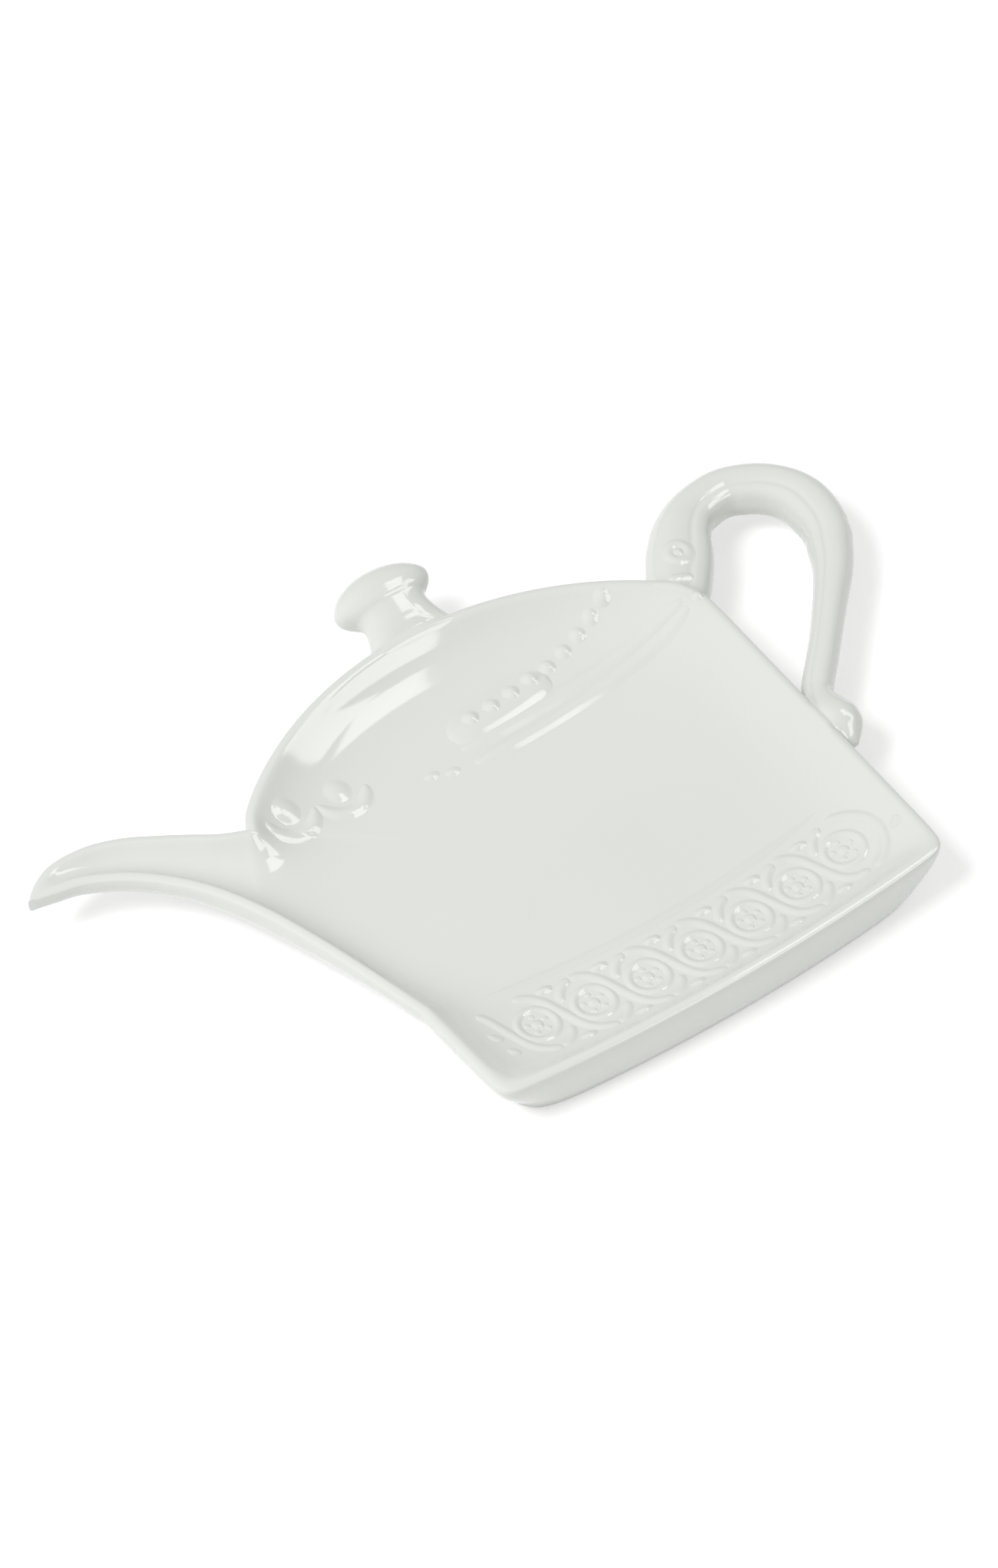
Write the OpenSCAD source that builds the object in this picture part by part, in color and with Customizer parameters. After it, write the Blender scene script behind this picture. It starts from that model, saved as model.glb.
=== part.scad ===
// Porcelain tea bag rest in the outline of a teapot, lying flat on the table.
// Plan view: spout towards -X, handle towards +X, base edge towards -Y, knob towards +Y.
// The forms are worked out round the middle of the dish, and the whole is then set
// with the middle of its outline over the origin and its foot on the plane z = 0.

/* [Dish] */
// Width of the dish along its base edge
base_w = 83; // [74:1:92]
// Width of the dish across its shoulder
shoulder_w = 86.8; // [80:0.2:96]
// Length of the dish from the base edge to the crown of the lid
body_len = 86; // [78:1:94]
// Radius of the lid's arc in plan
lid_r = 61; // [54:1:75]
// Radius of the base edge's slight bow in plan
base_r = 360; // [200:10:600]
// Height of the rim above the table
rim_h = 12; // [10.5:0.1:14]
// Height of the dish floor's lowest line above the table
floor_h = 6.4; // [5.4:0.1:7.2]
// Rise of the floor from the middle line to the side walls
cup_rise = 1; // [0:0.1:1.4]
// Width of the rounded rim
lip_w = 1.1; // [0.8:0.1:1.8]
// Drop from the rim's crest to its outer edge
lip_drop = 0.5; // [0.3:0.1:0.8]
// Height of the rim's upright outer band
band_h = 0.6; // [0.4:0.1:1.2]

/* [Foot] */
// Height of the foot ring
foot_h = 3; // [2:0.1:3.4]
// Width of the foot ring
foot_w = 4.5; // [3:0.1:6]
// Inset of the wall's lower edge from the rim, at the base and at the lid
front_inset = 2.6; // [2:0.1:5]
// Inset of the wall's lower edge from the rim, at the sides
side_inset = 5.6; // [3:0.1:7]
// Distance that the wall's lower edge and the foot stand to the handle's side
foot_offset_w = 1.6; // [0:0.1:2]

/* [Spout] */
// Reach of the spout beyond the shoulder corner
spout_reach = 35.2; // [28:0.2:40]
// Length of the opening from the dish into the spout
spout_mouth = 45; // [38:0.5:48]
// Height in plan of the spout's upper curve above the shoulder corner
spout_crest = 11.7; // [9:0.1:14]
// Rise in plan of the spout's lower curve
spout_lift = 52; // [46:0.5:56]
// Depth of the spout's outer wall under its rim, where it leaves the dish
spout_depth = 7; // [5.5:0.1:7.2]

/* [Handle] */
// Reach of the handle's middle line beyond the side of the dish
handle_reach = 26.6; // [22:0.2:32]
// Rise of the arch's middle line above the shoulder corner
handle_rise = 16.1; // [13:0.1:19]
// Drop of the lower end below the shoulder corner
handle_drop = 39.7; // [34:0.1:44]
// Widest width of the handle bar
handle_w = 8.6; // [7:0.1:10]
// Thickness of the handle bar at its widest
handle_t = 7.5; // [6:0.1:8.5]
// Height of the handle's middle line above the table
handle_z = 7.9; // [7:0.1:8.5]

/* [Knob] */
// Width of the knob's cap
knob_w = 17.4; // [14:0.1:20]
// Reach of the knob beyond the crown of the lid
knob_len = 12.6; // [10.5:0.1:14]
// Thickness of the knob's cap
knob_t = 7.4; // [6.6:0.1:9]
// Height of the middle of the cap above the table
knob_z = 12.3; // [11:0.1:13]
// Distance that the knob stands to the handle's side of the middle
knob_offset_w = 1.4; // [0:0.1:2]

/* [Border relief] */
// Distance from one medallion to the next, before they are spread evenly
medallion_len = 9.6; // [9:0.1:11]
// Distance from the ends of the base edge to the nearest medallions, on average
border_margin = 12.7; // [12:0.1:14]
// Distance from a medallion's frame to the crossings of the strands beside it
medallion_gap = 1.7; // [1.5:0.1:2]
// Distance of the border's middle line from the base edge
border_inset = 11.4; // [10.5:0.1:13]
// Bow of the border's middle line across the dish
border_bow = 4.6; // [3:0.1:6]
// Half height of the interlaced strands' wave
strand_wave_w = 5.8; // [5.2:0.1:6.2]
// Width of a strand and of a medallion's frame
strand_w = 1; // [0.7:0.1:1.2]
// Height of the border relief above the floor
relief_h = 0.45; // [0.3:0.05:0.7]
// Distance that the border stands to the handle's side of the middle
border_offset_w = 1.5; // [0:0.1:2]

/* [Shoulder relief] */
// Distance of the lower reed from the crown of the lid
reed_inset = 24.6; // [23:0.1:26]
// Distance from one reed to the next
reed_gap = 3.4; // [2.6:0.1:3.8]
// Width of a reed
reed_w = 1.5; // [1:0.1:1.8]
// Distance of the row of beads from the crown of the lid
disc_inset = 17.2; // [16:0.1:18]
// Radius of a bead in the shoulder row
disc_r = 1.4; // [1:0.1:1.5]
// Rise of the row of beads towards both sides
shoulder_sag = 12; // [9:0.5:14]
// Rise of the reeds towards both sides
reed_sag = 4; // [2:0.5:6]
// Turn from one bead to the next, as on a round pot
bead_turn = 5.5; // [4.6:0.1:5.6]
// Distance of the lobes at the spout's end from the crown of the lid
lobe_inset = 17.5; // [16:0.1:19]
// Radius of a lobe
lobe_r = 4.4; // [3.5:0.1:5]
// Distance from the shoulder corner to the outer lobe
lobe_margin = 8.9; // [8:0.1:10]
// Distance from the lobes to the ends of the reeds
lobe_gap = 1.9; // [1.5:0.1:3]
// Height of the shoulder relief above the floor
shoulder_relief_h = 0.7; // [0.4:0.05:1]

/* [Hidden] */

// Plan outline of the dish, as reaches from the middle of its length

half_len = body_len / 2;
lid_mid_y = half_len - lid_r;
base_mid_y = base_r - half_len;
shoulder_y = lid_mid_y + sqrt(lid_r * lid_r - shoulder_w * shoulder_w / 4);
base_corner_y = base_mid_y - sqrt(base_r * base_r - base_w * base_w / 4);
flare_share = (shoulder_w - base_w) / 2 / (shoulder_y - base_corner_y);
mid_half_w = base_w / 2 - flare_share * base_corner_y;
corner_power = 34;
faintest_share = 0.001;

function side_x(y) = mid_half_w + flare_share * y;
function arc_reach(turn, mid_y, r) =
    mid_y * sin(turn) + sqrt(pow(mid_y * sin(turn), 2) - mid_y * mid_y + r * r);
function side_reach(turn) =
    mid_half_w / max(abs(cos(turn)) - flare_share * sin(turn), faintest_share);

// The three edges blend at the corners: the nearest edge leads, the next rounds it off
function rim_reach(turn) =
    let (edges = [side_reach(turn), arc_reach(turn, lid_mid_y, lid_r), arc_reach(turn, base_mid_y, base_r)])
    let (nearest = min(edges))
    nearest * pow(sum_of([for (e = edges) pow(nearest / e, corner_power)]), -1 / corner_power);

function sum_of(v, i = 0) = i < len(v) ? v[i] + sum_of(v, i + 1) : 0;
function on_turn(turn, r, z) = [r * cos(turn), r * sin(turn), z];
function full_turn(x, y) = (atan2(y, x) + 360 - base_turn) % 360 + base_turn;

// Turns at which the outline changes edge, from the right end of the base round to it again
base_turn = atan2(base_corner_y, base_w / 2);
shoulder_turn = atan2(shoulder_y, shoulder_w / 2);
mouth_top_turn = 180 - shoulder_turn;
mouth_top = on_turn(mouth_top_turn, rim_reach(mouth_top_turn), 0);
mouth_low_y = mouth_top.y - spout_mouth;
mouth_low_turn = full_turn(-side_x(mouth_low_y), mouth_low_y);
mouth_low = on_turn(mouth_low_turn, rim_reach(mouth_low_turn), 0);
base_end_turn = 180 - base_turn;

// Steps are packed towards the corners, where the outline turns fastest
packing_share = 0.6;
function packed(s) = s - packing_share * sin(360 * s) / (2 * PI);
function stretch(from, to, steps) =
    [for (i = [0:steps - 1]) from + (to - from) * packed(i / steps)];

// Shares across the mouth of the spout: the rim's edge, its crest, then the hollow
hollow_steps = 7;
crest_cap_share = 0.3;
hollow_least_power = 2;
hollow_packing_power = 1.4;
function crest_share(w) = min(lip_w / w, crest_cap_share);
function half_mouth(w) = let (c = crest_share(w))
    [0, for (i = [0:hollow_steps]) c + (0.5 - c) * pow(i / hollow_steps, hollow_packing_power)];
function mouth_shares(w) = let (h = half_mouth(w))
    [each h, for (i = [len(h) - 2:-1:0]) 1 - h[i]];
function mouth_share_of(turn) =
    let (p = on_turn(turn, rim_reach(turn), 0)) (mouth_top.y - p.y) / (mouth_top.y - mouth_low.y);

right_steps = 18;
lid_steps = 30;
left_steps = 6;
base_steps = 26;
mouth_turns = [
    for (s = mouth_shares(spout_mouth))
        let (y = mouth_top.y + s * (mouth_low.y - mouth_top.y),
             x = mouth_top.x + s * (mouth_low.x - mouth_top.x),
             out = side_x(y))
        s == 0 ? mouth_top_turn : s == 1 ? mouth_low_turn : full_turn(min(x, faintest_share - out), y)
];
turns = [
    each stretch(base_turn, shoulder_turn, right_steps),
    each stretch(shoulder_turn, mouth_top_turn, lid_steps),
    each mouth_turns,
    each [for (i = [1:left_steps - 1]) mouth_low_turn + (base_end_turn - mouth_low_turn) * i / left_steps],
    each stretch(base_end_turn, base_turn + 360, base_steps)
];
around = len(turns);

// Heights of the dish

band_top = rim_h - lip_drop;
band_low = band_top - band_h;
wall_curl_power = 9;
base_curl_power = 7;
trough_root_h = floor_h + cup_rise;
mouth_fullness_power = 1.35;
wall_bow_power = 1.5;
function curl_at(turn) = wall_curl_power + base_curl_power * pow(max(0, -sin(turn)), 2);
function in_mouth(turn) = turn > mouth_top_turn && turn < mouth_low_turn;

// Height across the mouth: the crest at both sides, the hollow between
hollow_curl_len = 4.8;
function hollow_z(s, w, low, top) =
    let (c = crest_share(w))
    s < c || s > 1 - c
        ? top - lip_drop * (1 - min(s, 1 - s) / c)
        : let (power = max(hollow_least_power, w / 2 / hollow_curl_len))
            low + (top - low) * pow(abs(1 - 2 * (s - c) / (1 - 2 * c)), power);
// Height of the underside across the spout, under the band of its rim
function keel_z(s, top, depth, fullness) =
    top - depth * pow(max(0, 1 - pow(abs(1 - 2 * s), fullness)), 1 / fullness);

function edge_z(turn) =
    in_mouth(turn) ? hollow_z(mouth_share_of(turn), spout_mouth, trough_root_h, rim_h) : band_top;
function crest_z(turn) =
    in_mouth(turn) ? max(edge_z(turn), trough_root_h) : rim_h;
function wall_top_z(turn) =
    in_mouth(turn) ? keel_z(mouth_share_of(turn), band_low, spout_depth, mouth_fullness_power) : band_low;
function floor_z(x) = floor_h + cup_rise * pow(x / side_x(0), 2);

// Inner surface of the dish under a place in plan
function inside_z(x, y) =
    let (turn = full_turn(x, y),
         reach = rim_reach(turn) - lip_w,
         foot_of_rim = floor_z(reach * cos(turn)))
    floor_z(x) + (crest_z(turn) - foot_of_rim) * pow(norm([x, y]) / reach, curl_at(turn));

// The wall draws in below the rim: its outline shrinks and moves towards the handle
function drawn_scale(draw) = [1 - draw * side_inset / mid_half_w, 1 - draw * front_inset / half_len];
function drawn(p, draw) =
    let (k = drawn_scale(draw)) [p.x * k.x + draw * foot_offset_w, p.y * k.y, p.z];
// A place kept out of the dish: one that would lie in the wall is set just off its surface
seat_gap_share = 0.04;
seat_gap = lip_w * seat_gap_share;
function outside(p) =
    let (draw = pow(1 - min(1, max(0, (p.z - foot_h) / (band_low - foot_h))), wall_bow_power),
         k = drawn_scale(draw),
         q = [(p.x - draw * foot_offset_w) / k.x, p.y / k.y],
         turn = full_turn(q.x, q.y),
         reach = rim_reach(turn) + seat_gap)
    norm(q) < reach ? drawn(on_turn(turn, reach, p.z), draw) : p;

wall_shares = [0, 0.3, 0.6, 0.85, 1];
lip_turns = [45, 90];
floor_shares = [0.985, 0.96, 0.925, 0.88, 0.82, 0.74, 0.64, 0.5, 0.3];

// Skins: rings of points joined in order, closed by a strip across each end

function band_faces(n, a, b) = [
    for (i = [0:n - 1]) each [
        [a + i, b + i, b + (i + 1) % n],
        [a + i, b + (i + 1) % n, a + (i + 1) % n]
    ]
];
function strip_faces(n, a) = [
    for (i = [0:n / 2 - 2]) each [
        [a + i, a + i + 1, a + n - 2 - i],
        [a + i, a + n - 2 - i, a + n - 1 - i]
    ]
];
function flipped(faces) = [for (f = faces) [f[0], f[2], f[1]]];

module skin(rings, closed = false) {
    n = len(rings[0]);
    last = len(rings) - 1;
    sides = [
        for (i = [0:last - 1]) each band_faces(n, i * n, (i + 1) * n),
        if (closed) each band_faces(n, last * n, 0)
    ];
    ends = closed ? [] : [each strip_faces(n, 0), each flipped(strip_faces(n, last * n))];
    polyhedron(points = [for (r = rings) each r], faces = [each sides, each ends], convexity = 8);
}

// Smooth curve through a table's rows, at a place counted in rows
function through(rows, at) =
    let (i = min(floor(at), len(rows) - 2), s = at - i,
         a = rows[max(i - 1, 0)], b = rows[i], c = rows[i + 1], d = rows[min(i + 2, len(rows) - 1)])
    b + s * ((c - a) / 2 + s * ((2 * a - 5 * b + 4 * c - d) / 2 + s * (3 * b - a - 3 * c + d) / 2));

module body_dish() {
    outer = [
        for (u = wall_shares) [
            for (t = turns)
                let (z = foot_h + (wall_top_z(t) - foot_h) * u)
                drawn(on_turn(t, rim_reach(t), z), pow(1 - u, wall_bow_power))
        ]
    ];
    edge = [for (t = turns) on_turn(t, rim_reach(t), edge_z(t))];
    lip = [
        for (k = lip_turns) [
            for (t = turns)
                let (z = edge_z(t) + (crest_z(t) - edge_z(t)) * sin(k))
                on_turn(t, rim_reach(t) - lip_w * (1 - cos(k)), z)
        ]
    ];
    inner = [
        for (q = floor_shares) [
            for (t = turns)
                let (r = q * (rim_reach(t) - lip_w), p = on_turn(t, r, 0))
                [p.x, p.y, inside_z(p.x, p.y)]
        ]
    ];
    rings = [each outer, edge, each lip, each inner];
    count = len(rings) * around;
    faces = [
        for (i = [0:len(rings) - 2]) each band_faces(around, i * around, (i + 1) * around),
        for (i = [0:around - 1]) [count, i, (i + 1) % around],
        for (i = [0:around - 1]) [count + 1, count - around + (i + 1) % around, count - around + i]
    ];
    color("#dddfda")
        polyhedron(
            points = [for (r = rings) each r, [0, 0, foot_h], [0, 0, floor_h]],
            faces = faces, convexity = 8
        );
}

// The foot stands a little inside the wall's lower edge
foot_step = 0.6;
foot_turns_step = 2;
function foot_outline(inset) = [
    for (i = [0:foot_turns_step:around - 1])
        let (p = drawn(on_turn(turns[i], rim_reach(turns[i]), 0), 1))
        [p.x * (1 - inset / mid_half_w), p.y * (1 - inset / half_len)]
];

module foot_ring() {
    color("#cbccc7")
        linear_extrude(foot_h)
            difference() {
                polygon(foot_outline(foot_step));
                polygon(foot_outline(foot_step + foot_w));
            }
}

// Each row of the spout: upper edge along and up, lower edge along and up,
// depth of the wall, rise of the hollow, and fullness of the underside
spout_shares = [
    [0, 0, 0, 0, 1, 0, 1.35],
    [0.11, 0.154, 0.077, 0.213, 0.98, 0.02, 1.35],
    [0.21, 0.36, 0.156, 0.406, 0.93, 0.05, 1.4],
    [0.324, 0.58, 0.25, 0.59, 0.85, 0.09, 1.45],
    [0.466, 0.83, 0.375, 0.75, 0.76, 0.14, 1.55],
    [0.622, 0.985, 0.551, 0.882, 0.65, 0.2, 1.75],
    [0.793, 0.99, 0.736, 0.96, 0.5, 0.3, 2],
    [0.906, 0.84, 0.878, 0.985, 0.38, 0.55, 2.2],
    [0.986, 0.63, 0.98, 1, 0.22, 0.92, 2.4]
];
spout_row_share = 0.5;

function spout_row(at) =
    let (v = through(spout_shares, at),
         top = [mouth_top.x - v[0] * spout_reach, mouth_top.y + v[1] * spout_crest],
         low_reach = spout_reach + mouth_top.x - mouth_low.x,
         low = [mouth_low.x - v[2] * low_reach, mouth_low.y + v[3] * spout_lift],
         fade = pow(1 - at / (len(spout_shares) - 1), 2),
         w = at == 0 ? spout_mouth : norm(low - top),
         shares = mouth_shares(w),
         hollow = trough_root_h + (rim_h - trough_root_h) * v[5],
         plan = [
             for (i = [0:len(shares) - 1])
                 let (t = mouth_turns[i], r = rim_reach(t), s0 = mouth_shares(spout_mouth)[i],
                      root = [r * cos(t), r * sin(t)],
                      chord = [mouth_top.x, mouth_top.y] * (1 - s0) + [mouth_low.x, mouth_low.y] * s0)
                 top + (low - top) * shares[i] + (root - chord) * fade
         ])
    let (depth = min(v[4] * spout_depth, band_low - foot_h - faintest_share),
         n = len(shares),
         real = [for (i = [0:n - 1]) at == 0 ? mouth_share_of(mouth_turns[i]) : shares[i]])
    [
        for (i = [0:n - 1])
            [plan[i].x, plan[i].y, i == 0 || i == n - 1 ? band_low : keel_z(real[i], band_low, depth, v[6])],
        for (i = [n - 1:-1:0])
            [plan[i].x, plan[i].y, i == 0 || i == n - 1 ? band_top : hollow_z(real[i], w, hollow, rim_h)]
    ];

module spout_trough() {
    color("#dadcd7")
        skin([for (at = [0:spout_row_share:len(spout_shares) - 1]) spout_row(at)]);
}

// Knob: stations along its reach, each with half width, height and thickness
knob_shares = [
    [-0.12, 0.97, -0.38, 0.74],
    [0.1, 0.8, -0.32, 0.7],
    [0.22, 0.7, -0.23, 0.68],
    [0.34, 0.67, -0.15, 0.7],
    [0.42, 0.72, -0.1, 0.77],
    [0.48, 0.85, -0.05, 0.87],
    [0.545, 0.955, -0.02, 0.96],
    [0.63, 1, 0, 1],
    [0.72, 0.955, 0.01, 0.98],
    [0.83, 0.8, 0.02, 0.87],
    [0.925, 0.55, 0.02, 0.66],
    [0.98, 0.28, 0.02, 0.36],
    [1, 0.06, 0.02, 0.08]
];
knob_sides = 20;
knob_fullness_power = 2.4;
function oval(turn, power) =
    let (c = cos(turn), s = sin(turn), r = pow(pow(abs(c), power) + pow(abs(s), power), -1 / power))
    [r * c, r * s];

function knob_ring(v, share) = [
    for (i = [0:knob_sides - 1])
        let (o = share * oval(360 * (i + 0.5) / knob_sides, knob_fullness_power))
        outside([
            knob_offset_w - o.x * v[1] * knob_w / 2,
            half_len + v[0] * knob_len,
            knob_z + v[2] * knob_t + o.y * v[3] * knob_t / 2
        ])
];
// The root's end face lies on the curved wall, so it has rings of its own
knob_root_shares = [0.2, 0.45, 0.75];

module lid_knob() {
    rings = [
        for (share = knob_root_shares) knob_ring(knob_shares[0], share),
        for (v = knob_shares) knob_ring(v, 1)
    ];
    color("#dadbd6") skin(rings);
}

// Handle: stations of the middle line, across as a share of the reach, up as a share
// of the rise above the shoulder or the drop below it, and the bar's width
handle_shares = [
    [-0.101, 0.08, 1.14],
    [0.039, 0.37, 1.25],
    [0.13, 0.57, 1.24],
    [0.236, 0.78, 1.1],
    [0.383, 0.94, 0.96],
    [0.602, 1, 0.91],
    [0.764, 0.91, 0.94],
    [0.887, 0.76, 0.96],
    [0.97, 0.55, 0.99],
    [0.994, 0.32, 1],
    [0.97, 0.02, 0.92],
    [0.894, -0.1, 0.84],
    [0.799, -0.2, 0.74],
    [0.644, -0.32, 0.65],
    [0.469, -0.45, 0.6],
    [0.314, -0.56, 0.6],
    [0.192, -0.644, 0.6],
    [0.118, -0.714, 0.57],
    [0.072, -0.822, 0.96],
    [0.069, -0.903, 0.88],
    [0.058, -0.984, 0.25]
];
scroll_rows = 2;
boss_rows = 4;
handle_rows = len(handle_shares) - 1;
// Half section of the bar, from its outer side over the crown to its inner side and under
bar_shares = [
    [1, 0.1], [0.9, 0.5], [0.68, 0.82], [0.38, 0.98], [0.08, 1], [-0.18, 0.94],
    [-0.34, 0.85], [-0.54, 0.85], [-0.8, 0.68], [-0.97, 0.3],
    [-1, -0.15], [-0.86, -0.62], [-0.5, -0.93], [0, -1], [0.5, -0.93], [0.88, -0.55]
];
slender_share = 0.5;
fullest_share = 1.08;
along_share = 0.1;
handle_row_share = 0.5;

function handle_mid(at) =
    let (v = through(handle_shares, at))
    let (y = shoulder_y + v[1] * (v[1] > 0 ? handle_rise : handle_drop))
    [side_x(y) + v[0] * handle_reach, y];
function handle_ring(at) =
    let (a = handle_mid(max(0, at - along_share)),
         b = handle_mid(min(handle_rows, at + along_share)),
         along = (b - a) / norm(b - a), across = [-along.y, along.x],
         mid = handle_mid(at), share = through(handle_shares, at)[2],
         half_w = handle_w * share / 2,
         half_t = handle_t / 2 * (slender_share + (1 - slender_share) * min(share, fullest_share)))
    [
        for (p = bar_shares)
            let (q = mid + across * p[0] * half_w) outside([q.x, q.y, handle_z + p[1] * half_t])
    ];
function handle_part(from, to) = [for (at = [from:handle_row_share:to]) handle_ring(at)];

module handle_scroll() {
    color("#e0e1dc") skin(handle_part(0, scroll_rows));
}

module handle_loop() {
    color("#e0e1dc") skin(handle_part(scroll_rows, handle_rows - boss_rows));
}

module handle_boss() {
    color("#d9dad3") skin(handle_part(handle_rows - boss_rows, handle_rows));
}

// Relief: low ridges that lie on the inner surface along a line drawn in plan

ridge_top_share = 0.4;
function across_of(path, i, closed) =
    let (n = len(path),
         a = path[closed ? (i + n - 1) % n : max(i - 1, 0)],
         b = path[closed ? (i + 1) % n : min(i + 1, n - 1)],
         d = (b - a) / norm(b - a))
    [-d.y, d.x];
function on_floor(p, h) = [p.x, p.y, inside_z(p.x, p.y) + h];

// widths holds the ridge's share of its full width and height at each point of the path
module ridge(path, w, h, widths = [], closed = false) {
    rings = [
        for (i = [0:len(path) - 1])
            let (share = len(widths) > 0 ? widths[i] : 1,
                 out = across_of(path, i, closed) * w * share / 2,
                 top = out * ridge_top_share)
            [
                on_floor(path[i] + out, 0), on_floor(path[i] + top, h * share),
                on_floor(path[i] - top, h * share), on_floor(path[i] - out, 0)
            ]
    ];
    skin(rings, closed);
}

// The border's middle line bows with the base edge
function border_y(x) = border_inset - half_len + border_bow * pow((x - border_offset_w) / side_x(0), 2);
border_len = base_w - 2 * border_margin;
medallions = round(border_len / medallion_len) + 1;
medallion_pitch = border_len / (medallions - 1);
medallion_r = medallion_pitch / 2 - medallion_gap;
function medallion_x(k) = border_offset_w + (k - (medallions - 1) / 2) * medallion_pitch;
ring_steps = 16;
frame_width_share = 0.8;
// Part of a circle round a medallion's middle
function border_arc(x, r, from, sweep, steps) = [
    for (i = [0:steps])
        let (t = from + sweep * i / steps) [x + r * cos(t), border_y(x) + r * sin(t)]
];
module border_rings() {
    color("#d8d9d3")
        for (k = [0:medallions - 1])
            ridge(
                border_arc(medallion_x(k), medallion_r, 0, 360 - 360 / ring_steps, ring_steps - 1),
                strand_w * frame_width_share, relief_h, closed = true
            );
}

// A bead: a shallow cone frustum set square to the inner surface
tilt_step_share = 0.01;
bead_sides = 20;
module bead(x, y, r, h, top_share, sides = bead_sides) {
    d = body_len * tilt_step_share;
    slope_x = (inside_z(x + d, y) - inside_z(x - d, y)) / (2 * d);
    slope_y = (inside_z(x, y + d) - inside_z(x, y - d)) / (2 * d);
    translate([x, y, inside_z(x, y)])
        rotate([atan(slope_y), 0, 0])
            rotate([0, -atan(slope_x * cos(atan(slope_y))), 0])
                cylinder(h = h, r1 = r, r2 = r * top_share, $fn = sides);
}

petal_count = 5;
petal_sides = 10;
petal_r_share = 0.24;
petal_ring_share = 0.5;
petal_small_share = 0.7;
petal_top_share = 0.5;
module border_rosettes() {
    color("#d8d9d3")
        for (k = [0:medallions - 1]) {
            x = medallion_x(k);
            r = medallion_r * petal_r_share;
            bead(x, border_y(x), r, relief_h, petal_top_share, petal_sides);
            sweep = 360 - 360 / petal_count;
            for (p = border_arc(x, medallion_r * petal_ring_share, 90, sweep, petal_count - 1))
                bead(
                    p.x, p.y, r * petal_small_share, relief_h * petal_small_share,
                    petal_top_share, petal_sides
                );
        }
}

// Strand between medallion k and the next: it starts high and ends low.
// The other strand rises under it, so only its two ends show.
// At the spout's end a strand runs in from above, and the last strand closes round its medallion.
strand_steps = 12;
trim_share = 0.08;
under_share = 0.3;
entry_share = 0.25;
closing_turn = 80;
last_x = medallion_x(medallions - 1);
function strand_path(k, sign, from, to) = [
    for (i = [round(from * strand_steps):round(to * strand_steps)])
        let (s = i / strand_steps, x = medallion_x(k) + s * medallion_pitch)
        [x, border_y(x) + sign * strand_wave_w * cos(180 * s)]
];
module border_strands() {
    color("#d6d7d1")
        {
            for (k = [0:medallions - 2]) {
                ridge(strand_path(k, 1, trim_share, 1 - trim_share), strand_w, relief_h);
                ridge(strand_path(k, -1, trim_share, under_share), strand_w, relief_h);
                ridge(strand_path(k, -1, 1 - under_share, 1 - trim_share), strand_w, relief_h);
            }
            ridge(strand_path(-1, 1, entry_share, 1 - trim_share), strand_w, relief_h);
            ridge(
                border_arc(last_x, strand_wave_w, closing_turn, -2 * closing_turn, strand_steps),
                strand_w, relief_h
            );
        }
}

// Darts: pointed drops in the hollows above and below the strands
dart_steps = 3;
dart_len_share = 0.5;
dart_root_share = 0.72;
dart_width_share = 1.5;
dart_shares = [0.15, 1, 0.7, 0.15];
module border_darts() {
    color("#d8d9d3")
        for (k = [0:medallions - 2], side = [-1, 1]) {
            x = medallion_x(k) + medallion_pitch / 2;
            y = border_y(x) + side * strand_wave_w * dart_root_share;
            reach = side * strand_wave_w * dart_len_share;
            ridge(
                [for (i = [0:dart_steps]) [x, y + reach * i / dart_steps]],
                strand_w * dart_width_share, relief_h, widths = dart_shares
            );
        }
}

// End leaves: short curled leaves outside the last strand at each end,
// given by their root's place and their length as shares of the strand's swing
leaf_shares = [[-1.05, 0.3, 0.62], [-0.95, -0.35, 0.55], [1.25, -0.2, 0.5]];
leaf_width_shares = [0.2, 0.8, 1, 0.75, 0.2];
leaf_width_share = 1.5;
leaf_steps = 4;
leaf_turn = 80;
module border_end_leaves() {
    color("#d8d9d3")
        for (v = leaf_shares) {
            x0 = v[0] > 0 ? last_x : medallion_x(0);
            root = [x0 + v[0] * strand_wave_w, border_y(x0) + v[1] * strand_wave_w];
            path = [
                for (i = [0:leaf_steps])
                    let (t = leaf_turn * i / leaf_steps)
                    root + strand_wave_w * v[2] * [sign(v[0]) * sin(t) / 2, -sin(leaf_turn - t) / 2]
            ];
            ridge(path, strand_w * leaf_width_share, relief_h, widths = leaf_width_shares);
        }
}

edge_steps = 26;
edge_gap_share = 2.6;
edge_gap = strand_wave_w + edge_gap_share * strand_w;
edge_reach_share = 0.74;
edge_width_share = 0.9;
edge_height_share = 0.6;
module border_edge_line() {
    color("#d8d9d3")
        ridge(
            [
                for (i = [-edge_steps / 2:edge_steps / 2])
                    let (x = side_x(0) * edge_reach_share * i * 2 / edge_steps)
                    [x, border_y(x) + edge_gap]
            ],
            strand_w * edge_width_share, relief_h * edge_height_share
        );
}

// The shoulder band rises towards both sides, as a level band on a round pot does
function band_y(inset, sag, x) = half_len - inset + sag * pow(x / side_x(0), 2);
pot_r = side_x(0);
bead_count = 9;
first_bead_share = 0.1;
reed_right_share = 0.76;
disc_top_share = 0.55;
lobe_count = 2;
lobe_pitch_share = 2.15;
function lobe_x(k) = lobe_margin - shoulder_w / 2 + k * lobe_r * lobe_pitch_share;
reed_left = lobe_x(lobe_count - 1) + lobe_r + lobe_gap;
reed_right = side_x(0) * reed_right_share;
module shoulder_reeds() {
    color("#dcddd8")
        for (k = [0, 1])
            ridge(
                [
                    for (i = [0:edge_steps])
                        let (x = reed_left + (reed_right - reed_left) * i / edge_steps)
                        [x, band_y(reed_inset - k * reed_gap, reed_sag, x)]
                ],
                reed_w, shoulder_relief_h
            );
}

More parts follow.
